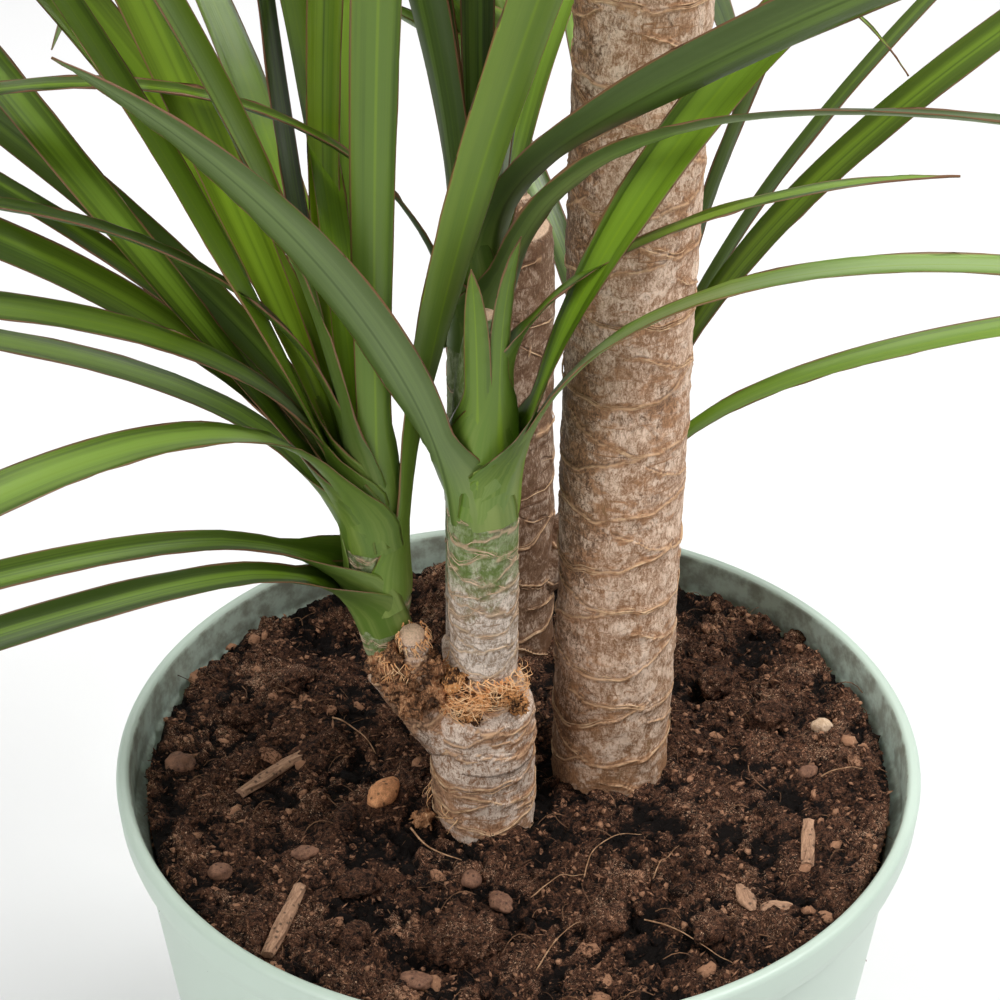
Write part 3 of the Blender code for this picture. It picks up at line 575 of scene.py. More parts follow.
class Nodes:
    """One node tree, to which nodes are added with their settings first and then their sockets."""

    def __init__(self, tree):
        self.tree = tree

    def add(self, kind, settings=None, sockets=None, output=0):
        """A new node's output. Sockets are named or numbered, and take a value or another node's output."""
        node = self.tree.nodes.new(kind)
        for name, value in (settings or {}).items():
            setattr(node, name, value)
        for name, value in (sockets or {}).items():
            if isinstance(value, Socket):
                self.tree.links.new(value.output, node.inputs[name])
            else:
                node.inputs[name].default_value = value
        return Socket(self, node.outputs[output])

    def band(self, value, low, high):
        """A smooth step from 0 at low to 1 at high."""
        settings = {"interpolation_type": "SMOOTHSTEP"}
        return self.add("ShaderNodeMapRange", settings, {"Value": value, "From Min": low, "From Max": high})

    def mix(self, share, first, second):
        """A blend of two colours."""
        paints = []
        for paint in (first, second):
            paints.append(paint if isinstance(paint, Socket) else (*paint, 1.0))
        settings = {"data_type": "RGBA"}
        return self.add("ShaderNodeMix", settings, {0: share, 6: paints[0], 7: paints[1]}, output=2)

    def noise(self, place, scale, detail=2.0, roughness=0.5, distortion=0.0, output="Fac"):
        """Cloudy noise at a place, given in metres."""
        sockets = {"Vector": place, "Scale": scale, "Detail": detail, "Roughness": roughness,
                   "Distortion": distortion}
        return self.add("ShaderNodeTexNoise", None, sockets, output)

    def cells(self, place, scale):
        """Distance from a place to the nearest of many scattered spots."""
        return self.add("ShaderNodeTexVoronoi", None, {"Vector": place, "Scale": scale}, "Distance")

    def vector(self, x=0.0, y=0.0, z=0.0):
        """A vector from three numbers."""
        return self.add("ShaderNodeCombineXYZ", None, {"X": x, "Y": y, "Z": z})

    def vectors(self, operation, *values):
        """Vector arithmetic."""
        return self.add("ShaderNodeVectorMath", {"operation": operation}, dict(enumerate(values)))

    def scaled(self, vector, amount):
        """A vector times a number."""
        return self.add("ShaderNodeVectorMath", {"operation": "SCALE"}, {0: vector, "Scale": amount})

    def stored(self, name, output="Fac"):
        """A value stored on the piece's own points, for a material."""
        return self.add("ShaderNodeAttribute", {"attribute_name": name}, None, output)

    def part(self, vector, letter):
        """One of a vector's three numbers."""
        return self.add("ShaderNodeSeparateXYZ", None, {0: vector}, letter)

    def stirred(self, place, size, roughness, amount):
        """A push one way or another, which changes over a size and is at most half the amount."""
        cloud = self.noise(place, 1.0 / size, 2.0, roughness, output="Color")
        return self.scaled(self.vectors("SUBTRACT", cloud, (0.5, 0.5, 0.5)), amount)

    def bump(self, height, strength, distance):
        """A bumped normal."""
        sockets = {"Height": height, "Strength": strength, "Distance": distance}
        return self.add("ShaderNodeBump", None, sockets, "Normal")

    def place(self):
        """Where a point of the surface is, in the object's own coordinates."""
        return self.add("ShaderNodeTexCoord", None, None, "Object")

    def named(self, name, data_type="FLOAT"):
        """A value stored on the points of a geometry, for a geometry tree."""
        return self.add("GeometryNodeInputNamedAttribute", {"data_type": data_type}, {"Name": name})

    def store(self, geometry, name, value, data_type="FLOAT", domain="POINT"):
        """The geometry with a value stored on it."""
        settings = {"data_type": data_type, "domain": domain}
        sockets = {"Geometry": geometry, "Name": name, "Value": value}
        return self.add("GeometryNodeStoreNamedAttribute", settings, sockets)

    def pick(self, data_type, low, high, seed):
        """A random value for each element."""
        first, last, output = {"FLOAT": (2, 3, 1), "FLOAT_VECTOR": (0, 1, 0)}[data_type]
        return self.add("FunctionNodeRandomValue", {"data_type": data_type},
                        {first: low, last: high, "Seed": seed}, output)


def finish_of(name, paint, **constants):
    """A Principled material; paint lays its nodes and returns its colour, roughness and normal."""
    made = bpy.data.materials.new(name)
    made.use_nodes = True
    shader = made.node_tree.nodes["Principled BSDF"]
    for socket, value in constants.items():
        shader.inputs[socket.replace("_", " ")].default_value = value
    nodes = Nodes(made.node_tree)
    for socket, value in zip(("Base Color", "Roughness", "Normal"), paint(nodes)):
        made.node_tree.links.new(value.output, shader.inputs[socket])
    return made


def leaf_finish():
    """Leaf green with fine lengthwise stripes, a painted highlight down the middle, a painted pale sheen on
    some leaves and painted light shining through others, a midrib partly painted light and shade, reddish
    margins and a pale clasping base.
    """
    def paint(nodes):
        across = nodes.stored("across")
        along = nodes.stored("along")
        width = nodes.stored("width")
        tone = nodes.stored("tone")
        light = nodes.stored("light")
        upper = nodes.stored("upper")
        clasp = nodes.stored("clasp")
        bloom = nodes.stored("bloom")
        outward = abs(across)
        veins = across * VEIN_SPREAD
        shift = tone * 37.0
        fine = nodes.noise(nodes.vector(veins * 2300.0, along * 9.0, shift), 1.0, 2.0)
        broad = nodes.noise(nodes.vector(veins * 420.0, along * 5.0, shift + 11.0), 1.0, 2.0)
        cloud = nodes.noise(nodes.vector(veins * 70.0, along * 12.0, shift + 5.0), 1.0, 2.0)
        stripes = fine * 0.22 + broad * 0.68 + cloud * 0.55
        # A painted highlight down the middle of each blade, which also raises the bump there
        middle = 1.0 - nodes.band(outward, 0.0, 0.75)
        lightness = nodes.band(stripes + middle * 0.26 + (tone - 0.5) * 0.40, 0.62, 1.00)
        green = nodes.mix(lightness, LEAF_DARK, LEAF_LIGHT)
        lit = nodes.mix(nodes.band(stripes, 0.45, 1.0), LEAF_LIT, LEAF_YELLOW)
        green = nodes.mix(light * 0.9, green, lit)
        # A painted pale sheen, strongest down the middle, on the leaves given a share of it
        painted_sheen_mask = bloom * nodes.band(stripes * 0.60 - outward * 0.50, -0.10, 0.42)
        green = nodes.mix(painted_sheen_mask, green, LEAF_PAINTED_SHEEN)
        under = nodes.mix(0.5, green, LEAF_UNDER)
        green = nodes.mix(upper, under, green)
        pale = nodes.mix(nodes.band(fine * 0.4 + broad * 0.6, 0.40, 0.68), CLASP_GREEN, CLASP_PALE)
        green = nodes.mix(clasp * 0.6, green, pale)
        # The midrib line is real, but its pale or dark tone stands partly for the light and shade that its
        # channel catches: partly painted light and shade
        rib = 1.0 - nodes.band(outward, 0.015, 0.085)
        green = nodes.mix(rib * nodes.band(tone, 0.35, 0.75) * 0.55, green, LEAF_RIB)
        green = nodes.mix(rib * (1.0 - nodes.band(tone, 0.25, 0.65)) * 0.45, green, LEAF_DARK)
        edge_metres = (1.0 - outward) * width
        margin = 1.0 - nodes.band(edge_metres, MARGIN_WIDTH * 0.30, MARGIN_WIDTH)
        rim = nodes.mix(nodes.band(clasp, 0.30, 0.70), LEAF_MARGIN, CLASP_PALE)
        green = nodes.mix(margin * 0.8, green, rim)
        height = fine * 0.35 + broad + middle * 0.3
        sheen = 0.30 + fine * 0.12 + (1.0 - upper) * 0.10
        return green, sheen, nodes.bump(height, 0.30, 0.0003)
    return finish_of("leaf_striped", paint, Specular_IOR_Level=0.42)


def bark_finish(name, grey, brown, line=SCAR_PALE, crevice=BARK_CREVICE, stained_and_shaded=UNSTAINED):
    """Bark between leaf scars: grey felt mottled darker, with brown stains, fine pale lines, painted shade
    just above each scar, and a darker side that is partly stain and partly painted shade.
    """
    def paint(nodes):
        place = nodes.place()
        scar = nodes.stored("scar")
        flow = nodes.stored("flow")
        woody = nodes.stored("woody")
        sawn = nodes.stored("sawn")
        foot = 1.0 - nodes.band(nodes.part(place, "Z"), SOIL_TOP + 0.002, SOIL_TOP + 0.018)
        # Toward the left the bark darkens and browns: on the tall cane partly a real stain and partly painted
        # shade
        side = 1.0 - nodes.band(nodes.part(place, "X"), *stained_and_shaded)
        wide = nodes.noise(place, 62.0, 3.0, 0.6)
        patch = nodes.noise(place, 190.0, 4.0, 0.62, 0.8)
        smear = nodes.noise(nodes.vectors("MULTIPLY", place, (1.0, 1.0, 1.8)), 130.0, 4.0, 0.65, 1.0)
        felt = nodes.noise(nodes.vectors("MULTIPLY", place, (1.0, 1.0, 0.45)), 950.0, 4.0, 0.70, 1.2)
        flecks = nodes.noise(place, 2100.0, 3.0, 0.68, 0.6)
        near = 1.0 - nodes.band(abs(flow), 0.0002, 0.0024)
        mottle = nodes.band(felt * 0.45 + flecks * 0.27 + patch * 0.28, 0.40, 0.58)
        skin = nodes.mix(mottle, nodes.mix(0.45, crevice, brown), grey)
        skin = nodes.mix(nodes.band(felt * 0.50 + patch * 0.50, 0.47, 0.66) * 0.55, skin, BARK_BLOOM)
        stain_and_shade = wide * 0.42 + smear * 0.58 + near * 0.08 + foot * 0.08 + side * 0.08
        stain_and_shade = nodes.band(stain_and_shade, 0.520, 0.635)
        skin = nodes.mix(stain_and_shade * 0.88, skin, nodes.mix(mottle, nodes.mix(0.4, crevice, brown), brown))
        # Dark smudges, with painted shade added toward the left side
        smudge_and_shade = nodes.band(patch * 0.55 + wide * 0.45 + side * 0.19 - near * 0.03, 0.530, 0.64)
        skin = nodes.mix(smudge_and_shade * (1.20 - mottle) * 0.85, skin, crevice)
        green = nodes.mix(nodes.band(felt * 0.5 + patch * 0.5, 0.40, 0.62), STEM_GREEN, STEM_PALE)
        bare = nodes.band(woody + (patch - 0.5) * 1.1 + near * 0.10, 0.12, 0.88)
        skin = nodes.mix(bare, green, skin)
        # Painted shade in a narrow band just above each scar, under its ledge; the bump dips there too
        ledge_shade = nodes.band(flow, 0.0001, 0.0004) * (1.0 - nodes.band(flow, 0.0005, 0.0011))
        skin = nodes.mix(ledge_shade * nodes.band(patch, 0.40, 0.54) * 0.65, skin, crevice)
        skin = nodes.mix(nodes.band(scar, 0.30, 0.85) * nodes.band(patch, 0.32, 0.48) * 0.85, skin, line)
        face = nodes.mix(nodes.band(flecks, 0.35, 0.65), SAWN_GREY, SAWN_PALE)
        skin = nodes.mix(nodes.band(sawn, 0.45, 0.75), skin, face)
        relief = scar * 0.9 + patch * 0.45 + smear * 0.3 + felt * 0.40 + flecks * 0.20 - ledge_shade * 0.25
        return skin, 0.55 + flecks * 0.3, nodes.bump(relief, 0.8, 0.0008)
    return finish_of(name, paint, Specular_IOR_Level=0.3)


def shaggy_finish(name, dark, middle, pale):
    """Dead fibrous tissue: dark hollows, brown flakes and pale frayed edges."""
    def paint(nodes):
        place = nodes.place()
        clots = nodes.noise(place, 230.0, 4.0, 0.6, 1.2)
        frays = nodes.noise(nodes.vectors("MULTIPLY", place, (1.0, 1.0, 0.35)), 1100.0, 4.0, 0.65, 1.5)
        colour = nodes.mix(nodes.band(clots * 0.6 + frays * 0.4, 0.43, 0.55), dark, middle)
        colour = nodes.mix(nodes.band(clots * 0.35 + frays * 0.65, 0.53, 0.64), colour, pale)
        return colour, 0.6 + frays * 0.3, nodes.bump(clots + frays * 0.7, 0.9, 0.0012)
    return finish_of(name, paint, Specular_IOR_Level=0.25)


def fibre_finish(name, dark, pale):
    """Dry plant fibre."""
    def paint(nodes):
        place = nodes.place()
        streak = nodes.noise(place, 420.0, 3.0, 0.6)
        colour = nodes.mix(nodes.band(streak, 0.32, 0.68), dark, pale)
        return colour, 0.55 + streak * 0.3, nodes.bump(nodes.noise(place, 2600.0, 2.0), 0.4, 0.0003)
    return finish_of(name, paint, Specular_IOR_Level=0.35)


def soil_finish():
    """Damp dark peat: near-black hollows deepened with painted shade, brown crumbs, some of them rusty or tan,
    and small glints.
    """
    def paint(nodes):
        place = nodes.place()
        tone = nodes.stored("tone")
        hollow_shade = nodes.stored("hollow_shade")
        wide = nodes.noise(place, 60.0, 3.0, 0.6)
        grains = nodes.noise(place, 750.0, 4.0, 0.7, 0.8)
        specks = nodes.noise(place, 1900.0, 3.0, 0.7, 1.5)
        # Crumbs darken in the hollows, and tan specks fade there: painted shade
        chosen = grains * 0.55 + specks * 0.30 + wide * 0.15 + (tone - 0.35) * 0.22 - hollow_shade * 0.16
        colour = nodes.mix(nodes.band(chosen, 0.40, 0.60), SOIL_DARK, SOIL_BROWN)
        rust = nodes.band(chosen + (tone - 0.5) * 0.14, 0.52, 0.63)
        colour = nodes.mix(rust * 0.82, colour, SOIL_RUST)
        chaff = nodes.band(specks * 0.7 + wide * 0.3 - hollow_shade * 0.10, 0.585, 0.630)
        colour = nodes.mix(chaff * 0.90, colour, SOIL_SPECK)
        return colour, 0.55 + grains * 0.4, nodes.bump(grains + specks * 0.5, 1.0, 0.0016)
    return finish_of("soil_crumbly", paint, Specular_IOR_Level=0.18)


def piece_finish(name, dark, pale, stretch, pits):
    """Bark or stone: clouds stretched along the piece, with pits."""
    def paint(nodes):
        grain_place = nodes.vectors("MULTIPLY", nodes.stored("grain", "Vector"), stretch)
        clouds = nodes.noise(grain_place, 0.55, 5.0, 0.65, 0.4)
        fine = nodes.noise(grain_place, 2.6, 4.0, 0.7)
        holes = nodes.cells(nodes.stored("grain", "Vector"), pits)
        colour = nodes.mix(nodes.band(clouds * 0.6 + fine * 0.5, 0.35, 0.75), dark, pale)
        colour = nodes.mix((1.0 - nodes.band(holes, 0.12, 0.30)) * 0.7, colour, SOIL_DARK)
        return colour, 0.6 + fine * 0.3, nodes.bump(clouds * 0.6 + fine * 0.6 + holes * 0.3, 0.7, 0.0006)
    return finish_of(name, paint, Specular_IOR_Level=0.35)


def pot_finish():
    """Satin sage plastic with the faintest mottle, and dust with painted shade on its inside."""
    def paint(nodes):
        place = nodes.place()
        mottle = nodes.noise(place, 14.0, 3.0, 0.5)
        fine = nodes.noise(place, 900.0, 2.0, 0.5)
        colour = nodes.mix(mottle * 0.5, POT_SAGE, POT_PALE)
        # Dust and painted shade in patches over the inside of the wall and rim
        smudge_and_shade = nodes.stored("inside") * nodes.band(nodes.noise(place, 160.0, 4.0, 0.65), 0.35, 0.65)
        colour = nodes.mix(smudge_and_shade * 0.60, colour, POT_SMUDGE_AND_SHADE)
        return colour, 0.34 + mottle * 0.12, nodes.bump(fine * 0.3 + mottle, 0.06, 0.0004)
    return finish_of("pot_sage_satin", paint, Specular_IOR_Level=0.5)


def floor_finish():
    """A plain pale floor."""
    def paint(nodes):
        cloud = nodes.noise(nodes.place(), 1.5, 2.0)
        return (nodes.mix(cloud, FLOOR_PALE, FLOOR_WHITE),)
    return finish_of("floor_pale", paint, Roughness=0.9, Specular_IOR_Level=0.1)


def geometry_tree(name, sizes):
    """An empty geometry tree with named inputs; returns its nodes, its inputs and the source geometry."""
    tree = bpy.data.node_groups.new(name, "GeometryNodeTree")
    tree.interface.new_socket("Geometry", in_out="INPUT", socket_type="NodeSocketGeometry")
    for title, kind in sizes.items():
        tree.interface.new_socket(title, in_out="INPUT", socket_type="NodeSocket" + kind)
    tree.interface.new_socket("Geometry", in_out="OUTPUT", socket_type="NodeSocketGeometry")
    nodes = Nodes(tree)
    group = tree.nodes.new("NodeGroupInput")
    inputs = {title: Socket(nodes, group.outputs[title]) for title in sizes}
    return nodes, inputs, Socket(nodes, group.outputs["Geometry"])


def end_tree(nodes, geometry, finish):
    """Ends a tree: instances made real, and the finish set."""
    geometry = nodes.add("GeometryNodeRealizeInstances", None, {"Geometry": geometry})
    geometry = nodes.add("GeometryNodeSetShadeSmooth", None, {"Geometry": geometry})
    geometry = nodes.add("GeometryNodeSetMaterial", None, {"Geometry": geometry, "Material": finish})
    end = nodes.tree.nodes.new("NodeGroupOutput")
    nodes.tree.links.new(geometry.output, end.inputs["Geometry"])
    return nodes.tree


def blade_tree():
    """Leaves along their spines: a lens-shaped section, curled round the shoot at its base and channelled
    above, with faint waves along its margins."""
    nodes, inputs, spines = geometry_tree("leaf_blades", {
        "Section Points": "Int", "Wave Height": "Float", "Wave Size": "Float", "Finish": "Material"})
    curve = nodes.add("GeometryNodeMeshToCurve", None, {"Mesh": spines})
    here = nodes.add("GeometryNodeInputPosition")
    curve = nodes.store(curve, "middle", here, "FLOAT_VECTOR")
    section = nodes.add("GeometryNodeCurvePrimitiveCircle", None,
                        {"Resolution": inputs["Section Points"], "Radius": 1.0})
    section = nodes.store(section, "section", here, "FLOAT_VECTOR")
    swept = nodes.add("GeometryNodeCurveToMesh", None,
                      {"Curve": curve, "Profile Curve": section, "Fill Caps": True})
    ring = nodes.named("section", "FLOAT_VECTOR")
    across = nodes.part(ring, "X")
    layer = nodes.part(ring, "Y")
    width = nodes.named("width")
    curl = nodes.named("curl")
    bend = width / curl
    sine = (curl * across).math("SINE")
    cosine = (curl * across).math("COSINE")
    lift = layer * nodes.named("thickness")
    sideways = bend * sine - lift * sine
    facewards = bend * (1.0 - cosine) + lift * cosine
    wave = nodes.noise(here, 1.0 / inputs["Wave Size"], 1.0) - 0.5
    facewards = facewards + wave * abs(across) * inputs["Wave Height"]
    side = nodes.scaled(nodes.named("side", "FLOAT_VECTOR"), sideways)
    face = nodes.scaled(nodes.named("face", "FLOAT_VECTOR"), facewards)
    moved = nodes.vectors("ADD", nodes.named("middle", "FLOAT_VECTOR"), nodes.vectors("ADD", side, face))
    blades = nodes.store(swept, "across", across)
    blades = nodes.store(blades, "upper", nodes.band(layer, -0.05, 0.05))
    blades = nodes.add("GeometryNodeSetPosition", None, {"Geometry": blades, "Position": moved})
    return end_tree(nodes, blades, inputs["Finish"])


def strand_tree():
    """Thin strands along given paths, with their own girth and a small unevenness."""
    nodes, inputs, paths = geometry_tree("strands", {
        "Sides": "Int", "Unevenness": "Float", "Uneven Size": "Float", "Finish": "Material"})
    curve = nodes.add("GeometryNodeMeshToCurve", None, {"Mesh": paths})
    here = nodes.add("GeometryNodeInputPosition")
    swerve = nodes.stirred(here, inputs["Uneven Size"], 0.5, inputs["Unevenness"])
    curve = nodes.add("GeometryNodeSetPosition", None, {"Geometry": curve, "Offset": swerve})
    section = nodes.add("GeometryNodeCurvePrimitiveCircle", None,
                        {"Resolution": inputs["Sides"], "Radius": 1.0})
    swept = nodes.add("GeometryNodeCurveToMesh", None, {
        "Curve": curve, "Profile Curve": section, "Scale": nodes.named("girth"), "Fill Caps": True})
    return end_tree(nodes, swept, inputs["Finish"])


def strewn(nodes, inputs, ground, thing, scale, tilt, seed_step):
    """Copies of a thing scattered over a surface where it is loose, tilted a little and turned at will."""
    points = nodes.add("GeometryNodeDistributePointsOnFaces", None, {
        "Mesh": ground, "Density": inputs["Density"] * nodes.named("loose"), "Seed": inputs["Seed"]})
    turn = nodes.pick("FLOAT_VECTOR", (-tilt, -tilt, 0.0), (tilt, tilt, 2.0 * math.pi),
                      inputs["Seed"] + seed_step)
    return nodes.add("GeometryNodeInstanceOnPoints", None, {
        "Points": points, "Instance": thing, "Scale": scale,
        "Rotation": nodes.add("FunctionNodeEulerToRotation", None, {0: turn})})


def crumb_tree():
    """Rough crumbs scattered over a surface, most of them small, and slimmer where Slimness says so."""
    nodes, inputs, ground = geometry_tree("crumbs", {
        "Density": "Float", "Smallest": "Float", "Largest": "Float", "Rarity": "Float", "Segments": "Int",
        "Rings": "Int", "Roughness": "Float", "Grain Size": "Float", "Sinking": "Float", "Slimness": "Float",
        "Seed": "Int", "Finish": "Material"})
    chance = nodes.pick("FLOAT", 0.0, 1.0, inputs["Seed"])
    size = inputs["Smallest"] + (inputs["Largest"] - inputs["Smallest"]) * chance ** inputs["Rarity"]
    shape = nodes.pick("FLOAT_VECTOR", (0.75, 0.55, 0.45), (1.20, 1.0, 0.85), inputs["Seed"] + 7.0)
    slim = 1.0 - inputs["Slimness"]
    shape = nodes.vectors("MULTIPLY", shape, nodes.vector(1.0, slim, slim))
    crumb = nodes.add("GeometryNodeMeshUVSphere", None,
                      {"Radius": 0.5, "Segments": inputs["Segments"], "Rings": inputs["Rings"]})
    crumbs = strewn(nodes, inputs, ground, crumb, nodes.scaled(shape, size), 0.6, 13.0)
    tone = nodes.pick("FLOAT", 0.0, 1.0, inputs["Seed"] + 23.0)
    crumbs = nodes.store(crumbs, "tone", tone, domain="INSTANCE")
    crumbs = nodes.store(crumbs, "size", size, domain="INSTANCE")
    real = nodes.add("GeometryNodeRealizeInstances", None, {"Geometry": crumbs})
    here = nodes.add("GeometryNodeInputPosition")
    own_size = nodes.named("size")
    push = nodes.stirred(here, inputs["Grain Size"], 0.6, own_size * inputs["Roughness"])
    push = nodes.vectors("ADD", push, nodes.vector(0.0, 0.0, own_size * inputs["Sinking"] * -1.0))
    real = nodes.add("GeometryNodeSetPosition", None, {"Geometry": real, "Offset": push})
    return end_tree(nodes, real, inputs["Finish"])


def fibre_tree():
    """Short bent fibres scattered over a surface."""
    nodes, inputs, ground = geometry_tree("loose_fibres", {
        "Density": "Float", "Shortest": "Float", "Longest": "Float", "Girth": "Float", "Seed": "Int",
        "Finish": "Material"})
    bent = nodes.add("GeometryNodeCurveQuadraticBezier", None, {
        "Resolution": 5, "Start": (-0.5, 0.0, -0.10), "Middle": (0.0, 0.35, 0.30), "End": (0.5, 0.0, -0.05)})
    section = nodes.add("GeometryNodeCurvePrimitiveCircle", None,
                        {"Resolution": 3, "Radius": inputs["Girth"]})
    fibre = nodes.add("GeometryNodeCurveToMesh", None,
                      {"Curve": bent, "Profile Curve": section, "Fill Caps": True})
    chance = nodes.pick("FLOAT", 0.0, 1.0, inputs["Seed"] + 5.0)
    size = inputs["Shortest"] + (inputs["Longest"] - inputs["Shortest"]) * chance * chance
    return end_tree(nodes, strewn(nodes, inputs, ground, fibre, size, 0.45, 3.0), inputs["Finish"])


def linked(name, data):
    """A new object in the scene."""
    made = bpy.data.objects.new(name, data)
    bpy.context.scene.collection.objects.link(made)
    return made


def show(name, mesh, replaced=()):
    """A finished piece that rides on the one body and stands for its CAD nodes."""
    piece = linked(name, mesh)
    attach(piece, "root")
    if replaced:
        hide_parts(*replaced)
    return piece


def cleaned(mesh, merge=None, outwards=True):
    """Merges a mesh's points that lie together and turns its faces outwards."""
    work = bmesh.new()
    work.from_mesh(mesh)
    if merge:
        bmesh.ops.remove_doubles(work, verts=work.verts, dist=merge)
    if outwards:
        bmesh.ops.recalc_face_normals(work, faces=work.faces)
    work.to_mesh(mesh)
    work.free()


def grown(name, source, tree, **sizes):
    """The plain mesh that a geometry tree makes from a source mesh, with its faces turned outwards."""
    carrier = linked(name + "_source", source)
    step = carrier.modifiers.new("grow", "NODES")
    step.node_group = tree
    for item in tree.interface.items_tree:
        title = item.name.replace(" ", "_")
        if item.in_out == "INPUT" and title in sizes:
            step[item.identifier] = sizes[title]
    graph = bpy.context.evaluated_depsgraph_get()
    mesh = bpy.data.meshes.new_from_object(carrier.evaluated_get(graph), preserve_all_data_layers=True,
                                           depsgraph=graph)
    carrier.modifiers.clear()
    bpy.data.objects.remove(carrier, do_unlink=True)
    cleaned(mesh)
    mesh.name = name
    return mesh


def store_values(mesh, values):
    """Stores numbers, or vectors, on a mesh's points."""
    for title, numbers in values.items():
        numbers = np.asarray(numbers, np.float32)
        if numbers.ndim == 1:
            mesh.attributes.new(title, "FLOAT", "POINT").data.foreach_set("value", numbers)
        else:
            mesh.attributes.new(title, "FLOAT_VECTOR", "POINT").data.foreach_set("vector", numbers.ravel())


def path_mesh(name, paths):
    """A mesh of separate paths, each a list of points with a dictionary of values for each point."""
    points = []
    edges = []
    values = {}
    for path, stored in paths:
        start = len(points)
        points += [tuple(point) for point in path]
        edges += [(start + index, start + index + 1) for index in range(len(path) - 1)]
        for title, numbers in stored.items():
            values.setdefault(title, []).extend(numbers)
    mesh = bpy.data.meshes.new(name)
    mesh.from_pydata(points, edges, [])
    store_values(mesh, values)
    return mesh


def ring_faces(count, sides):
    """Four-sided faces between rings of points that lie one above another."""
    faces = []
    for level in range(count - 1):
        low = level * sides
        for side in range(sides):
            after = (side + 1) % sides
            faces.append((low + side, low + after, low + sides + after, low + sides + side))
    return faces


def tube_mesh(name, centres, firsts, seconds, radii, values, finish):
    """A closed tube through rings; radii has a row for each ring and a column for each side."""
    count, sides = radii.shape
    angles = np.linspace(0.0, 2.0 * math.pi, sides, endpoint=False)
    out = firsts[:, None, :] * np.cos(angles)[None, :, None]
    out = out + seconds[:, None, :] * np.sin(angles)[None, :, None]
    points = (centres[:, None, :] + out * radii[:, :, None]).reshape(-1, 3)
    points = np.vstack([points, centres[0], centres[-1]])
    low_cap = count * sides
    high_cap = low_cap + 1
    faces = ring_faces(count, sides)
    last = (count - 1) * sides
    for side in range(sides):
        after = (side + 1) % sides
        faces.append((low_cap, after, side))
        faces.append((high_cap, last + side, last + after))
    mesh = bpy.data.meshes.new(name)
    mesh.from_pydata(points.tolist(), [], faces)
    mesh.shade_smooth()
    full = {title: np.append(numbers.ravel(), [numbers[0].mean(), numbers[-1].mean()])
            for title, numbers in values.items()}
    store_values(mesh, full)
    mesh.materials.append(finish)
    return mesh


def across(axis):
    """Two unit directions at right angles to an axis."""
    axis = axis.normalized()
    first = Vector((1.0, 0.0, 0.0)) if abs(axis.x) < 0.9 else Vector((0.0, 1.0, 0.0))
    first = (first - axis * first.dot(axis)).normalized()
    return first, axis.cross(first)


def soil_height(x, y):
    """Height of the crumbly soil surface, which lies flat along the pot's wall."""
    lumps = noise.noise(Vector((x, y, SOIL_SLICE)) / SOIL_LUMP_SIZE) * SOIL_LUMP
    lumps += noise.noise(Vector((x, y, CRUMB_SLICE)) / CRUMB_SIZE) * CRUMB_HEIGHT
    edge = min(1.0, max(0.0, (SOIL_FLAT_EDGE - math.hypot(x, y)) / SOIL_EDGE_BLEND))
    return SOIL_TOP + lumps * edge


def pot_inner_radius(height):
    """Inner radius of the pot's wall at a height."""
    top = POT_HEIGHT - LIP_HEIGHT - LIP_INSIDE_DROP
    share = (height - POT_FLOOR) / (top - POT_FLOOR)
    return BASE_RADIUS - POT_WALL + share * (WALL_TOP_RADIUS - BASE_RADIUS)


def moved_stub(stub, top):
    """A stub measured from a cane's top, moved to its place."""
    start, end, start_radius, end_radius = stub
    return start + top, end + top, start_radius, end_radius


def spine(root, leaf):
    """Points and directions down the middle of a leaf that arches out and sags toward its tip."""
    _, heading, rise, rest, reach, length, _, sway, roll = leaf
    length *= MM
    reach *= MM
    roll = math.radians(roll)
    point = root.copy()
    points = [point.copy()]
    directions = []
    for step in range(SPINE_STEPS + 1):
        share = step / SPINE_STEPS
        slope = rest + (rise - rest) * math.exp(-share * length / reach) - SAG * share * share
        slope = math.radians(slope)
        turn = math.radians(heading + sway * share)
        level = math.cos(slope)
        direction = Vector((level * math.cos(turn), level * math.sin(turn), math.sin(slope)))
        side = Vector((-math.sin(turn), math.cos(turn), 0.0))
        rolled = roll * min(1.0, share / ROLLED_BY)
        side = side * math.cos(rolled) + direction.cross(side) * math.sin(rolled)
        directions.append((direction, side))
        if step < SPINE_STEPS:
            point += direction * (length / SPINE_STEPS)
            points.append(point.copy())
    return points, directions


def blade_width(share):
    """Width of a leaf along its length, as a share of its greatest width."""
    if share < NECK_SHARE:
        return BASE_WIDTH + (NECK_WIDTH - BASE_WIDTH) * share / NECK_SHARE
    if share < WIDEST_SHARE:
        part = (share - NECK_SHARE) / (WIDEST_SHARE - NECK_SHARE)
        return NECK_WIDTH + (1.0 - NECK_WIDTH) * math.sin(math.pi / 2.0 * part)
    return (1.0 - ((share - WIDEST_SHARE) / (1.0 - WIDEST_SHARE)) ** TIP_TAPER) ** TIP_FULLNESS


def blade_rings(root, leaf, segments, swell=0.0):
    """Flat four-cornered sections down a leaf, closer together where it bends, and its tip."""
    points, directions = spine(root, leaf)
    half = leaf[6] * MM / 2.0
    rings = []
    for segment in range(segments):
        share = (segment / segments) ** SPACING_POWER
        index = round(share * SPINE_STEPS)
        direction, side = directions[index]
        edge = side * (half * blade_width(share) + swell)
        top = direction.cross(side) * (BLADE / 2.0 + swell)
        middle = points[index]
        rings.append([middle + edge + top, middle - edge + top, middle - edge - top, middle + edge - top])
    return rings, points[-1]


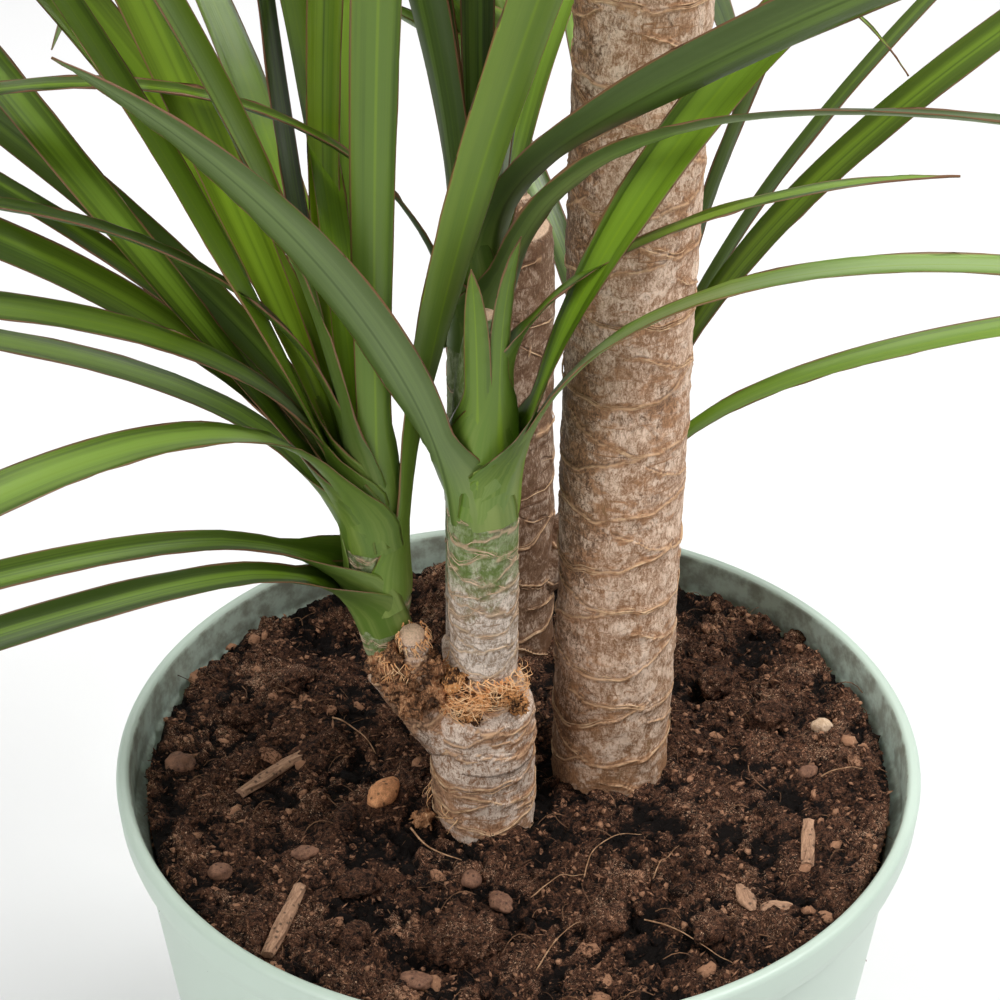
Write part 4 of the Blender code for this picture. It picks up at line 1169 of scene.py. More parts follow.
def blade_body(root, leaf, segments, swell=0.0):
    """Points and triangles of one leaf, split alike on its two faces."""
    rings, tip = blade_rings(root, leaf, segments, swell)
    points = [point for section in rings for point in section]
    points.append(tip)
    faces = [(0, 1, 2), (0, 2, 3)]
    for level in range(segments - 1):
        low = level * 4
        high = low + 4
        for first, second, rising in ((0, 1, True), (1, 2, True), (2, 3, False), (3, 0, True)):
            if rising:
                faces.append((low + first, low + second, high + second))
                faces.append((low + first, high + second, high + first))
            else:
                faces.append((low + first, low + second, high + first))
                faces.append((low + second, high + second, high + first))
    low = (segments - 1) * 4
    for first in range(4):
        faces.append((low + first, low + (first + 1) % 4, len(points) - 1))
    return points, faces


def tree_of(points, faces):
    """A search tree for finding where two bodies cross."""
    return BVHTree.FromPolygons([tuple(point) for point in points], faces)


def tree_of_object(made):
    """A search tree of a finished object."""
    mesh = made.data
    return tree_of([vert.co for vert in mesh.vertices], [tuple(face.vertices) for face in mesh.polygons])


def nudges():
    """Small turns and lifts to try on a leaf that crosses something, smallest first."""
    tries = [(turn, lift) for turn in TURNS_TO_TRY for lift in LIFTS_TO_TRY]
    tries.sort(key=lambda pair: abs(pair[0]) + 1.5 * abs(pair[1]))
    return tries


def root_of(shoot, leaf):
    """Where a leaf leaves its shoot: just under the skin of the stem, on the side that it heads for."""
    heading = math.radians(leaf[1])
    out = Vector((math.cos(heading), math.sin(heading), 0.0))
    up = leaf[0] * MM
    taper = 1.0 if up < shoot["height"] * TAPER_FROM else ROOT_TAPER
    return shoot["foot"] + shoot["axis"] * up + out * (shoot["radius"] * ROOT_SHARE * taper)


def clear_leaf(shoot, leaf, segments, blocked):
    """The leaf, nudged until it crosses no other node, or nothing if it never does."""
    for turn, lift in nudges():
        moved = list(leaf)
        moved[1] += turn
        moved[2] += lift * 0.5
        moved[3] += lift
        root = root_of(shoot, moved)
        points, faces = blade_body(root, moved, segments, GUARD)
        if min(point.z for point in points) < LOWEST_LEAF:
            continue
        body = tree_of(points, faces)
        if not any(body.overlap(tree) for tree in blocked):
            return root, moved
    return None


def whorl(count, low, high, seed, length, width, headings):
    """Leaves spiralling up a shoot by the golden angle: old ones hang, young ones stand."""
    leaf_rng = random.Random(seed)
    leaves = []
    first, last = headings
    for index in range(count):
        age = 1.0 - index / max(1, count - 1)
        turn = (index * GOLDEN_ANGLE) % 360.0
        heading = first + (last - first) * turn / 360.0
        heading += leaf_rng.uniform(-HEADING_SCATTER, HEADING_SCATTER)
        rise = YOUNG_RISE - OLD_RISE_DROP * age ** 1.3 + leaf_rng.uniform(-RISE_SCATTER, RISE_SCATTER)
        rest = YOUNG_REST - OLD_REST_DROP * age + leaf_rng.uniform(-REST_SCATTER, REST_SCATTER)
        reach = BEND_REACH * (1.0 + leaf_rng.random())
        size = length * (SHORTEST_SHARE + LENGTH_SWELL * math.sin(math.pi * (0.22 + 0.60 * age)))
        size *= leaf_rng.uniform(*LENGTH_SCATTER)
        height = low + (high - low) * (1.0 - age)
        broad = width * leaf_rng.uniform(*WIDTH_SCATTER)
        roll = leaf_rng.uniform(-ROLL_SCATTER, ROLL_SCATTER)
        leaves.append((height, heading, rise, rest, reach, size, broad, 0.0, roll))
    return leaves


def shoot_on(name, stub):
    """A shoot's measures, with its foot a gap above the end of the stub that carries it."""
    direction, height, radius, waist = SHOOTS[name]
    seat = (stub[1] - stub[0]).normalized()
    return {
        "foot": stub[1] + seat * GAP,
        "seat": seat,
        "axis": Vector(direction).normalized(),
        "height": height,
        "radius": radius,
        "waist": waist,
    }


def smooth_step(value, low, high):
    """A smooth step from 0 at low to 1 at high, for a number or an array."""
    share = np.clip((np.asarray(value, float) - low) / (high - low), 0.0, 1.0)
    return share * share * (3.0 - 2.0 * share)


def stem_radius(shoot, height):
    """Radius of a shoot at a height up its stem, as in the source."""
    levels = [0.0] + [share for share, _ in STEM_SHAPE] + [1.0 + STEM_TIP / shoot["height"]]
    swells = [shoot["waist"]] + [swell for _, swell in STEM_SHAPE] + [STEM_TIP_SHARE]
    return shoot["radius"] * np.interp(height / shoot["height"], levels, swells)


def leaf_frames(shoot, root, leaf, stride, light, bloom, leaf_rng):
    """A leaf's path from its sheath on the shoot to its tip, and what its blade needs at each point."""
    points, directions = spine(root, leaf)
    axis = shoot["axis"]
    up = leaf[0] * MM
    heading = math.radians(leaf[1])
    out = Vector((math.cos(heading), math.sin(heading), 0.0))
    out = (out - axis * out.dot(axis)).normalized()
    length = leaf[5] * MM
    skin_radius = float(stem_radius(shoot, up)) + SHEATH_LIFT
    lift = skin_radius - (root - shoot["foot"] - axis * up).length
    places = []
    sides = []
    runs = []
    shares = []
    for step in range(SHEATH_STEPS):
        drop = SHEATH_DROP * (1.0 - step / SHEATH_STEPS)
        lower = max(0.0, up - drop)
        radius = float(stem_radius(shoot, lower)) + SHEATH_LIFT * (1.0 - drop / SHEATH_DROP)
        places.append(shoot["foot"] + axis * lower + out * radius)
        sides.append(axis.cross(out))
        runs.append(lower - up)
        shares.append(0.0)
    for index in list(range(0, SPINE_STEPS, stride)) + [SPINE_STEPS]:
        share = index / SPINE_STEPS
        run = share * length
        places.append(points[index] + out * lift * math.exp(-run / SHEATH_REACH))
        sides.append(directions[index][1])
        runs.append(run)
        shares.append(share)
    for _ in range(SHEATH_SMOOTHING):
        softened = list(places)
        for index in range(1, min(len(places) - 1, SHEATH_STEPS + 8)):
            softened[index] = (places[index - 1] + places[index] * 2.0 + places[index + 1]) / 4.0
        places = softened
    wrap = leaf_rng.uniform(*SHEATH_WRAP)
    channel = leaf_rng.uniform(*CHANNEL)
    tone = leaf_rng.random()
    rows = []
    for index in range(len(places)):
        before = places[max(0, index - 1)]
        after = places[min(len(places) - 1, index + 1)]
        direction = (after - before).normalized()
        side = sides[index]
        side = (side - direction * side.dot(direction)).normalized()
        share = shares[index]
        run = runs[index]
        opened = float(smooth_step(run, -SHEATH_DROP * 0.3, SHEATH_OPENS))
        blade = leaf[6] * MM / 2.0 * max(BLADE_TIP, blade_width(min(share, 0.995)))
        width = wrap * skin_radius * (1.0 - opened) + blade * opened
        curl = wrap * (1.0 - opened) + channel * (1.0 - 0.6 * share) * opened
        rows.append({
            "width": width,
            "curl": max(FLATTEST_CURL, curl),
            "thickness": BLADE_HALF * (1.0 - BLADE_THINNING * share),
            "along": run,
            "tone": tone,
            "light": light,
            "bloom": bloom,
            "clasp": 1.0 - float(smooth_step(run, CLASP_START, CLASP_END)),
            "side": tuple(side),
            "face": tuple(direction.cross(side)),
        })
    return places, {title: [row[title] for row in rows] for title in rows[0]}


def make_leaves(name, shoot, leaves, tree, stride, sides, light, finish):
    """The mesh of a shoot's blades."""
    leaf_rng = random.Random(name)
    paths = []
    for index, (root, leaf) in enumerate(leaves):
        own_light = LEAF_LIGHT_SHARES.get(name, {}).get(index, light * leaf_rng.uniform(*OWN_LIGHT))
        bloom = LEAF_PAINTED_SHEEN_SHARES.get(name, {}).get(index, FAINT_PAINTED_SHEEN)
        paths.append(leaf_frames(shoot, root, leaf, stride, own_light, bloom, leaf_rng))
    spines = path_mesh(name + "_spines", paths)
    return grown(name, spines, tree, Section_Points=sides, Wave_Height=WAVE_HEIGHT, Wave_Size=WAVE_SIZE,
                 Finish=finish)


def scars_up(seed, start, stop, pitch, rise):
    """Leaf scars up a cane: height, heading, how much higher the far side lies, and a phase."""
    scar_rng = random.Random(seed)
    found = []
    height = start
    index = 0
    while height < stop:
        heading = math.radians(index * GOLDEN_ANGLE + scar_rng.uniform(-SCAR_TURN, SCAR_TURN))
        lift = rise * scar_rng.uniform(*RISE_SPREAD)
        phase = scar_rng.uniform(0.0, 2.0 * math.pi)
        found.append((height, heading, lift, phase))
        height += pitch * scar_rng.uniform(*PITCH_SPREAD)
        index += 1
    return found


def scar_line(scar, angles):
    """Height of a scar at each angle round its cane."""
    height, heading, rise, phase = scar
    turned = np.asarray(angles) - heading
    bow = (1.0 - np.cos(turned)) / 2.0
    sway = np.sin(3.0 * turned + phase) + 0.5 * np.sin(7.0 * turned + phase * 2.0)
    sway = sway + 0.3 * np.sin(13.0 * turned - phase)
    return height + rise * bow + SCAR_WOBBLE * sway


def scar_field(heights, angles, scars, thin, wide):
    """How near each point is to a scar, its height above the nearest, and the step of the bark there."""
    scar = np.zeros_like(heights)
    flow = np.full_like(heights, FLOW_REACH)
    step = np.zeros_like(heights)
    for found in scars:
        above = heights - scar_line(found, angles)
        keep = smooth_step(np.cos(angles - found[1]), *SCAR_ENDS)
        scar = np.maximum(scar, keep * np.exp(-(above / thin) ** 2))
        flow = np.where((np.abs(above) < np.abs(flow)) & (keep > 0.5), above, flow)
        step -= keep * (above / wide) * np.exp(-(above / wide) ** 2)
    return scar, flow, step


def noise_at(points, size, seed):
    """Noise at each of many points, between -1 and 1."""
    shift = Vector((seed * 3.7, seed * 1.3, seed * 2.1))
    return np.array([noise.noise(Vector(point) / size + shift) for point in points])


def bark_tube(name, foot, axis, levels, radii, sides, scars, depth, woody, finish, seed, start_axis=None):
    """A scarred cane or shoot stem: rings at given levels up its axis, stepped at each scar."""
    axis = axis.normalized()
    count = len(levels)
    start = (start_axis or axis).normalized()
    centres = np.array([foot + axis * level for level in levels])
    firsts = []
    seconds = []
    for level in levels:
        share = float(smooth_step(level, 0.0, SEAT_BLEND))
        first, second = across(start.lerp(axis, share))
        firsts.append(tuple(first))
        seconds.append(tuple(second))
    angles = np.tile(np.linspace(0.0, 2.0 * math.pi, sides, endpoint=False), (count, 1))
    heights = np.tile(np.asarray(levels)[:, None], (1, sides))
    scar, flow, step = scar_field(heights, angles, scars, SCAR_THIN, SCAR_WIDE)
    firsts = np.array(firsts)
    seconds = np.array(seconds)
    radii = np.asarray(radii)[:, None]
    out = np.cos(angles)[..., None] * firsts[:, None, :] + np.sin(angles)[..., None] * seconds[:, None, :]
    skin = (centres[:, None, :] + out * radii[..., None]).reshape(-1, 3)
    lumps = noise_at(skin, BARK_LUMP_SIZE, seed).reshape(count, sides)
    crumple = noise_at(skin, BARK_CRUMPLE_SIZE, seed + 5).reshape(count, sides)
    relief = scar * 0.55 + step * 0.60 + lumps * 0.8 + crumple * 0.35 - 0.2
    sawn = np.zeros((count, sides))
    sawn[-1] = 1.0
    woody = np.tile(np.asarray(woody)[:, None], (1, sides))
    values = {"scar": scar, "flow": flow, "woody": woody, "sawn": sawn}
    return tube_mesh(name, centres, firsts, seconds, radii + depth * relief, values, finish)


def scar_strands(foot, axis, radius_at, scars, girth, points, strand_rng, extra):
    """Paths of the raised fibres along leaf scars."""
    axis = axis.normalized()
    first, second = across(axis)
    paths = []
    shares = np.linspace(0.0, 1.0, points)
    for found in scars:
        for copy in range(1 + extra):
            reach = math.pi * (strand_rng.uniform(*SIDE_REACH) if copy else SCAR_REACH)
            middle = found[1] + (strand_rng.uniform(-SIDE_TURN, SIDE_TURN) if copy else 0.0)
            angles = np.linspace(middle - reach, middle + reach, points)
            offset = strand_rng.uniform(-SIDE_OFFSET, SIDE_OFFSET) * MM if copy else 0.0
            heights = scar_line(found, angles) + offset
            thick = girth * (strand_rng.uniform(*SIDE_GIRTH) if copy else 1.0)
            taper = np.sqrt(np.clip(np.sin(math.pi * shares), 0.0, 1.0)) * thick + THINNEST_STRAND
            path = []
            for angle, height in zip(angles, heights):
                out = first * math.cos(angle) + second * math.sin(angle)
                path.append(foot + axis * height + out * (radius_at(height) + girth * 0.35))
            broken = np.clip(SCAR_FULLNESS + SCAR_SWING * noise_at(path, SCAR_BREAKS, 3.0), *SCAR_FULL_RANGE)
            paths.append((path, {"girth": taper * broken}))
    return paths


def strands(name, paths, tree, finish, sides=4, uneven=0.5 * MM, uneven_size=3.0 * MM):
    """The mesh of strands along paths."""
    return grown(name, path_mesh(name + "_paths", paths), tree, Sides=sides, Unevenness=uneven,
                 Uneven_Size=uneven_size, Finish=finish)


def joined(name, meshes):
    """One mesh made of several."""
    objects = [linked(name, mesh) for mesh in meshes]
    with bpy.context.temp_override(active_object=objects[0], selected_editable_objects=objects,
                                   selected_objects=objects):
        bpy.ops.object.join()
    mesh = objects[0].data
    bpy.data.objects.remove(objects[0], do_unlink=True)
    mesh.name = name
    return mesh


def make_cane(name, foot, lean, radius, height, seed, pitch, rise, stubs, finishes, tree, detail):
    """A cane's bark and the fibres of its scars, with plain woody stubs where its shoots stand."""
    bark, fibre = finishes
    axis = lean.normalized()
    edge = height - SAWN_BEVEL
    levels = list(np.arange(-CANE_BURIED, min(edge, detail), SEEN_STEP))
    levels += list(np.arange(detail, edge, FAR_STEP)) + [edge, height]
    radii = [radius * (BARK_SHARE + 0.01 * math.sin(level * 90.0 + seed)) for level in levels]
    radii[-2] = radius * 0.98
    radii[-1] = radius * 0.98 - SAWN_BEVEL
    scars = scars_up(seed, -SCAR_MARGIN, height - SCAR_MARGIN, pitch, rise)
    scars = [scar for scar in scars if scar[0] + scar[2] < height + SCAR_MARGIN]
    meshes = [bark_tube(name, foot, axis, levels, radii, CANE_FINE_SIDES, scars, BARK_DEPTH,
                        [1.0] * len(levels), bark, seed)]
    for start, end, low, high in stubs:
        run = (end - start).length
        steps = np.linspace(0.0, run, STUB_RINGS)
        wide = [low + (high - low) * step / run for step in steps]
        wide[-1] = high - SAWN_BEVEL * 0.5
        stub_scars = scars_up(seed + 3, SCAR_MARGIN, run, STUB_PITCH, STUB_RISE)
        meshes.append(bark_tube(name, start, end - start, list(steps), wide, STEM_FINE_SIDES, stub_scars,
                                BARK_DEPTH, [1.0] * STUB_RINGS, bark, seed + 2))
    show(name + "_bark", joined(name + "_bark", meshes), (name,))
    strand_rng = random.Random(seed)
    near = [scar for scar in scars if scar[0] < detail]
    far = [scar for scar in scars if scar[0] >= detail]
    paths = []
    for group, points, extra in ((near, 30, 2), (far, 16, 0)):
        paths += scar_strands(foot, axis, lambda level: radius * BARK_SHARE, group, SCAR_GIRTH, points,
                              strand_rng, extra)
    show(name + "_scars", strands(name + "_scars", paths, tree, fibre), ())


def make_stem(name, shoot, grey_to, pitch, rise, finishes, tree, seed):
    """A shoot's stem with its ring scars: grey and woody below, green above."""
    bark, fibre = finishes
    height = shoot["height"]
    step = STEM_STEP if name in STEMS_SEEN else STEM_FAR_STEP
    levels = list(np.arange(0.0, height + STEM_TIP, step))
    radii = [float(stem_radius(shoot, level)) for level in levels]
    scars = scars_up(seed, 0.003, height * 0.8, pitch, rise)
    woody = [1.0 - float(smooth_step(level, grey_to * 0.45, grey_to * 1.65)) for level in levels]
    mesh = bark_tube(name, shoot["foot"], shoot["axis"], levels, radii, STEM_FINE_SIDES, scars, STEM_DEPTH,
                     woody, bark, seed, start_axis=shoot["seat"])
    show(name + "_stem", mesh, (name,))
    strand_rng = random.Random(seed + 9)
    paths = scar_strands(shoot["foot"], shoot["axis"], lambda level: float(stem_radius(shoot, level)),
                         scars, STEM_SCAR_GIRTH, 20, strand_rng, 1)
    show(name + "_scars", strands(name + "_scars", paths, tree, fibre, 4, 0.25 * MM), ())


def make_shoots(stubs, finishes, trees):
    """Every shoot, its leaves set and cleared in the same order as in the source."""
    placed = {"shoot_front": FRONT_LEAVES, "shoot_back": BACK_LEAVES, "shoot_left": LEFT_LEAVES,
              "shoot_right": RIGHT_LEAVES, "shoot_middle": MIDDLE_LEAVES}
    spirals = {"shoot_middle": MIDDLE_WHORL, "shoot_tall_left": TALL_LEFT_WHORL,
               "shoot_tall_right": TALL_RIGHT_WHORL}
    blocked = [tree_of_object(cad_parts[node]) for node in BLOCKING_NODES]
    for number, (name, stub) in enumerate(stubs.items()):
        shoot = shoot_on(name, stub)
        own = [clear_leaf(shoot, leaf, PLACED_SEGMENTS, blocked) for leaf in placed.get(name, ())]
        spiral = whorl(*spirals[name]) if name in spirals else []
        spun = [clear_leaf(shoot, leaf, WHORL_SEGMENTS, blocked) for leaf in spiral]
        meshes = []
        batches = ((name, own, 1, PLACED_SIDES), (name + "_spun", spun, 2, WHORL_SIDES))
        for title, found, stride, sides in batches:
            found = [leaf for leaf in found if leaf]
            if found:
                meshes.append(make_leaves(title, shoot, found, trees["blades"], stride, sides,
                                          SHOOT_LIGHT[name], finishes["leaf"]))
        leaves = joined(name + "_leaves", meshes) if len(meshes) > 1 else meshes[0]
        show(name + "_leaves", leaves, (name,))
        grey_to, pitch, rise = STEM_LOOKS[name]
        make_stem(name, shoot, grey_to, pitch, rise, (finishes["stem"], finishes["line"]),
                  trees["strands"], FIRST_STEM_SEED + number)
        blocked.append(tree_of_object(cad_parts[name]))


def turned_mesh(name, profile, sides, finish):
    """A closed turned body from radius and height pairs, which start and end on the axis."""
    points = []
    for radius, height in profile:
        for side in range(sides):
            angle = 2.0 * math.pi * side / sides
            points.append((radius * math.cos(angle), radius * math.sin(angle), height))
    mesh = bpy.data.meshes.new(name)
    mesh.from_pydata(points, [], ring_faces(len(profile), sides))
    cleaned(mesh, 1e-7)
    mesh.shade_smooth()
    mesh.materials.append(finish)
    return mesh


def rounded(corners, size, steps=4):
    """A profile with its inner corners rounded by short arcs."""
    path = [corners[0]]
    for before, corner, after in zip(corners, corners[1:], corners[2:]):
        here = Vector(corner)
        back = Vector(before) - here
        on = Vector(after) - here
        cut = min(size, back.length * 0.45, on.length * 0.45)
        start = here + back.normalized() * cut
        end = here + on.normalized() * cut
        for step in range(steps + 1):
            share = step / steps
            point = start.lerp(here, share).lerp(here.lerp(end, share), share)
            path.append(tuple(point))
    path.append(corners[-1])
    return path


def make_pot(finish):
    """The turned pot with its rolled lip."""
    lip_foot = POT_HEIGHT - LIP_HEIGHT
    corners = [
        (0.0, 0.0),
        (BASE_RADIUS - BASE_BEVEL, 0.0),
        (BASE_RADIUS + BASE_BEVEL * 0.4, BASE_BEVEL),
        (WALL_TOP_RADIUS, lip_foot - LIP_STEP),
        (LIP_FOOT_RADIUS, lip_foot),
        (RIM_RADIUS - LIP_STEP, lip_foot + LIP_HEIGHT / 3.0),
        (RIM_RADIUS, POT_HEIGHT - LIP_ROUND),
        (RIM_RADIUS - LIP_ROUND, POT_HEIGHT),
        (RIM_INNER_RADIUS + LIP_ROUND, POT_HEIGHT),
        (RIM_INNER_RADIUS, POT_HEIGHT - LIP_ROUND),
        (RIM_INNER_RADIUS - LIP_STEP, lip_foot),
        (WALL_TOP_RADIUS - POT_WALL, lip_foot - LIP_INSIDE_DROP),
        (BASE_RADIUS - POT_WALL, POT_FLOOR),
        (0.0, POT_FLOOR),
    ]
    mesh = turned_mesh("pot_body", rounded(corners, POT_ROUNDING), POT_FINE_SIDES, finish)
    points = np.array([vert.co for vert in mesh.vertices])
    limits = np.where(points[:, 2] > lip_foot - MM, RIM_INNER_RADIUS + LIP_STEP,
                      WALL_TOP_RADIUS - POT_WALL + MM)
    inside = (np.hypot(points[:, 0], points[:, 1]) < limits) & (points[:, 2] > SOIL_TOP - LIP_HEIGHT)
    store_values(mesh, {"inside": inside.astype(float)})
    show("pot_body", mesh, ("pot",))


def piece_clearance(x, y):
    """How far a place on the soil lies from the nearest loose piece, in that piece's half lengths."""
    nearest = 10.0
    for px, py, length, width, _, heading in {**BARK_PIECES, **STONE_PIECES}.values():
        angle = math.radians(heading)
        along = (x - px) * math.cos(angle) + (y - py) * math.sin(angle)
        beside = -(x - px) * math.sin(angle) + (y - py) * math.cos(angle)
        nearest = min(nearest, math.hypot(along / (length * MM / 2.0), beside / (width * MM / 2.0)))
    return nearest


def clods(x, y, size, rise):
    """Rounded clods of one size with cracks between them, around zero."""
    place = Vector((x, y, size * 7.0)) / size
    place += noise.noise_vector(place * 1.7) * SOIL_WARP
    distances, cores = noise.voronoi(place)
    dome = math.sqrt(max(0.0, 1.0 - (distances[0] / 0.80) ** 2))
    crack = min(1.0, (distances[1] - distances[0]) / SOIL_CRACK)
    return rise * (dome * crack * 0.9 + noise.noise(cores[0] * 5.3) * 0.7 - 0.45)


def soil_relief(x, y):
    """How far the crumbly surface stands above or below the source's surface."""
    swell_size, swell = SOIL_SWELL
    relief = noise.noise(Vector((x, y, 2.2)) / swell_size) * swell
    for size, rise in SOIL_CLODS:
        relief += clods(x, y, size, rise)
    return relief


def fine_soil_height(x, y):
    """Height of the crumbly soil, banked up along the pot's wall, and how deep its hollows lie, for the
    painted shade in them.
    """
    relief = soil_relief(x, y)
    radius = math.hypot(x, y)
    bank = SOIL_BANK * float(smooth_step(radius, *SOIL_BANK_REACH))
    clear = float(smooth_step(piece_clearance(x, y), 1.0, 1.9))
    relief = relief * clear + min(0.0, relief) * (1.0 - clear) * 0.5
    return soil_height(x, y) + relief + bank * clear, float(smooth_step(-relief, *SOIL_SHADE_DEPTHS))


def round_spot(u, v):
    """A place in the square from -1 to 1 moved to the unit disc, with even spacing kept."""
    if u == 0.0 and v == 0.0:
        return 0.0, 0.0
    if abs(u) > abs(v):
        angle = math.pi / 4.0 * v / u
        return u * math.cos(angle), u * math.sin(angle)
    angle = math.pi / 2.0 - math.pi / 4.0 * u / v
    return v * math.cos(angle), v * math.sin(angle)


def soil_bed(finish):
    """The closed body of soil, with an even fine grid over its top."""
    wall_top = POT_HEIGHT - LIP_HEIGHT - LIP_INSIDE_DROP
    reach = pot_inner_radius(wall_top) - GAP
    floor = POT_FLOOR + GAP
    floor_reach = pot_inner_radius(floor) - GAP
    count = SOIL_CELLS + 1
    points = []
    loose = []
    hollow_shade = []
    for row in range(count):
        for column in range(count):
            x, y = round_spot(2.0 * column / SOIL_CELLS - 1.0, 2.0 * row / SOIL_CELLS - 1.0)
            height, hollow = fine_soil_height(x * reach, y * reach)
            points.append((x * reach, y * reach, height))
            loose.append(float(smooth_step(piece_clearance(x * reach, y * reach), 1.0, 1.5)))
            hollow_shade.append(hollow)
    faces = []
    for row in range(SOIL_CELLS):
        for column in range(SOIL_CELLS):
            low = row * count + column
            faces.append((low, low + 1, low + count + 1, low + count))
    edge = list(range(count)) + [row * count + SOIL_CELLS for row in range(1, count)]
    edge += [SOIL_CELLS * count + column for column in range(SOIL_CELLS - 1, -1, -1)]
    edge += [row * count for row in range(SOIL_CELLS - 1, 0, -1)]
    start = len(points)
    for index in edge:
        x, y, _ = points[index]
        points.append((x * floor_reach / reach, y * floor_reach / reach, floor))
        loose.append(0.0)
        hollow_shade.append(1.0)
    for index, top in enumerate(edge):
        after = (index + 1) % len(edge)
        faces.append((start + index, start + after, edge[after], top))
    points.append((0.0, 0.0, floor))
    loose.append(0.0)
    hollow_shade.append(1.0)
    for index in range(len(edge)):
        faces.append((start + (index + 1) % len(edge), start + index, len(points) - 1))
    mesh = bpy.data.meshes.new("soil_bed")
    mesh.from_pydata(points, [], faces)
    mesh.shade_smooth()
    store_values(mesh, {"loose": loose, "hollow_shade": hollow_shade, "tone": [0.30] * len(points)})
    mesh.materials.append(finish)
    return mesh


def rough_stone(stone, index, finish):
    """A clod, pebble or chip that lies in the soil."""
    x, y, length, width, height, heading, look = stone
    work = bmesh.new()
    bmesh.ops.create_icosphere(work, subdivisions=5 if length > LARGE_STONE else 4, radius=1.0)
    level = soil_height(x * MM, y * MM) + height * MM * (0.5 - STONE_SINKING)
    angle = math.radians(heading)
    for vert in work.verts:
        spot = vert.co
        place = Vector((spot.x * length, spot.y * width, spot.z * height)) / 2.0
        rough = noise.fractal(place / STONE_GRAIN + Vector((index * 5.1, 0.0, 0.0)), 0.7, 2.1, 4)
        broad = noise.noise(spot * 0.9 + Vector((0.0, index * 3.7, 0.0)))
        place *= 1.0 + STONE_ROUGHNESS[look] * rough * 2.0 + broad * STONE_SWELL
        vert.co = Vector((x * MM + (place.x * math.cos(angle) - place.y * math.sin(angle)) * MM,
                          y * MM + (place.x * math.sin(angle) + place.y * math.cos(angle)) * MM,
                          level + place.z * MM))
    mesh = meshed("soil_stone", work, finish)
    grain = [tuple(vert.co / MM - Vector((x, y, SOIL_TOP / MM))) for vert in mesh.vertices]
    store_values(mesh, {"grain": grain, "tone": [0.32] * len(grain), "hollow_shade": [0.0] * len(grain)})
    return mesh


def make_soil(finishes, trees):
    """The soil's surface with its crumbs, clods, fibres and root ends."""
    mesh = soil_bed(finishes["soil"])
    for kind, tree, sizes in SOIL_LAYERS:
        name = "soil_" + kind
        finish = finishes["fibre_dark" if tree == "fibres" else "soil"]
        show(name, grown(name, mesh, trees[tree], Finish=finish, **sizes), ())
    show("soil_bed", mesh, ("soil",))
    for look in sorted(STONE_ROUGHNESS):
        finish = finishes["soil" if look == "peat" else look]
        stones = []
        for index, stone in enumerate(SOIL_STONES):
            if stone[-1] == look:
                stones.append(rough_stone(stone, index, finish))
        name = "soil_clods" if look == "peat" else "soil_" + look + "_bits"
        show(name, joined(name, stones) if len(stones) > 1 else stones[0], ())
    paths = []
    for girth, spots in ROOT_ENDS:
        curve = smooth_path([Vector((x * MM, y * MM, 0.0)) for x, y in spots], 6)
        path = []
        for index, spot in enumerate(curve):
            lift = ROOT_LIFT * math.sin(math.pi * index / (len(curve) - 1))
            height, _ = fine_soil_height(spot.x, spot.y)
            height = max(height, soil_height(spot.x, spot.y)) + lift + ROOT_GAP
            path.append(Vector((spot.x, spot.y, height)))
        for _ in range(ROOT_SMOOTHING):
            inner = [(a + b * 2.0 + c) / 4.0 for a, b, c in zip(path, path[1:], path[2:])]
            path = [path[0]] + inner + [path[-1]]
        shares = np.linspace(0.0, 1.0, len(path))
        paths.append((path, {"girth": girth * MM * (1.0 - 0.6 * shares)}))
    mesh = strands("root_ends", paths, trees["strands"], finishes["root"], 6, 0.6 * MM, 8.0 * MM)
    show("root_ends", mesh, ())


def meshed(name, work, finish):
    """The smooth mesh of a shape that is being worked on, with its finish."""
    mesh = bpy.data.meshes.new(name)
    work.to_mesh(mesh)
    work.free()
    mesh.shade_smooth()
    mesh.materials.append(finish)
    return mesh


def ragged(name, lumps, seed, finish):
    """Torn dead tissue: rough lumps grown into each other."""
    meshes = []
    for index, (x, y, z, length, width, height) in enumerate(lumps):
        work = bmesh.new()
        bmesh.ops.create_icosphere(work, subdivisions=RAGGED_LEVELS, radius=1.0)
        for vert in work.verts:
            place = Vector((vert.co.x * length, vert.co.y * width, vert.co.z * height))
            rough = noise.fractal(place / RAGGED_GRAIN + Vector((seed, index * 4.3, 0.0)), 0.6, 2.2, 4)
            place *= 1.0 + RAGGED_DEPTH * rough
            vert.co = (Vector((x, y, z)) + place) * MM
        mesh = meshed(name, work, finish)
        count = len(mesh.vertices)
        store_values(mesh, {"loose": [1.0] * count, "hollow_shade": [0.0] * count, "tone": [0.4] * count})
        meshes.append(mesh)
    return joined(name, meshes)


def frayed(strand_rng, count, foot, axis, ring, fall, spread, headings, girth, swing):
    """Paths of fibres that hang from a ring around an axis and spread as they fall."""
    first, second = across(axis.normalized())
    paths = []
    for _ in range(count):
        angle = math.radians(strand_rng.uniform(*headings))
        length = strand_rng.uniform(*fall) * MM
        start = strand_rng.uniform(-2.0, 3.0) * MM
        drift = strand_rng.uniform(-swing, swing)
        out_to = strand_rng.uniform(*spread) * MM
        path = []
        for step in range(FRAY_STEPS + 1):
            share = step / FRAY_STEPS
            turned = angle + drift * share
            out = first * math.cos(turned) + second * math.sin(turned)
            reach = ring * MM + out_to * math.sin(share * math.pi * 0.6)
            path.append(foot + axis.normalized() * (start - length * share) + out * reach)
        thick = girth * strand_rng.uniform(0.5, 1.2)
        paths.append((path, {"girth": thick * (1.0 - 0.7 * np.linspace(0.0, 1.0, FRAY_STEPS + 1))}))
    return paths


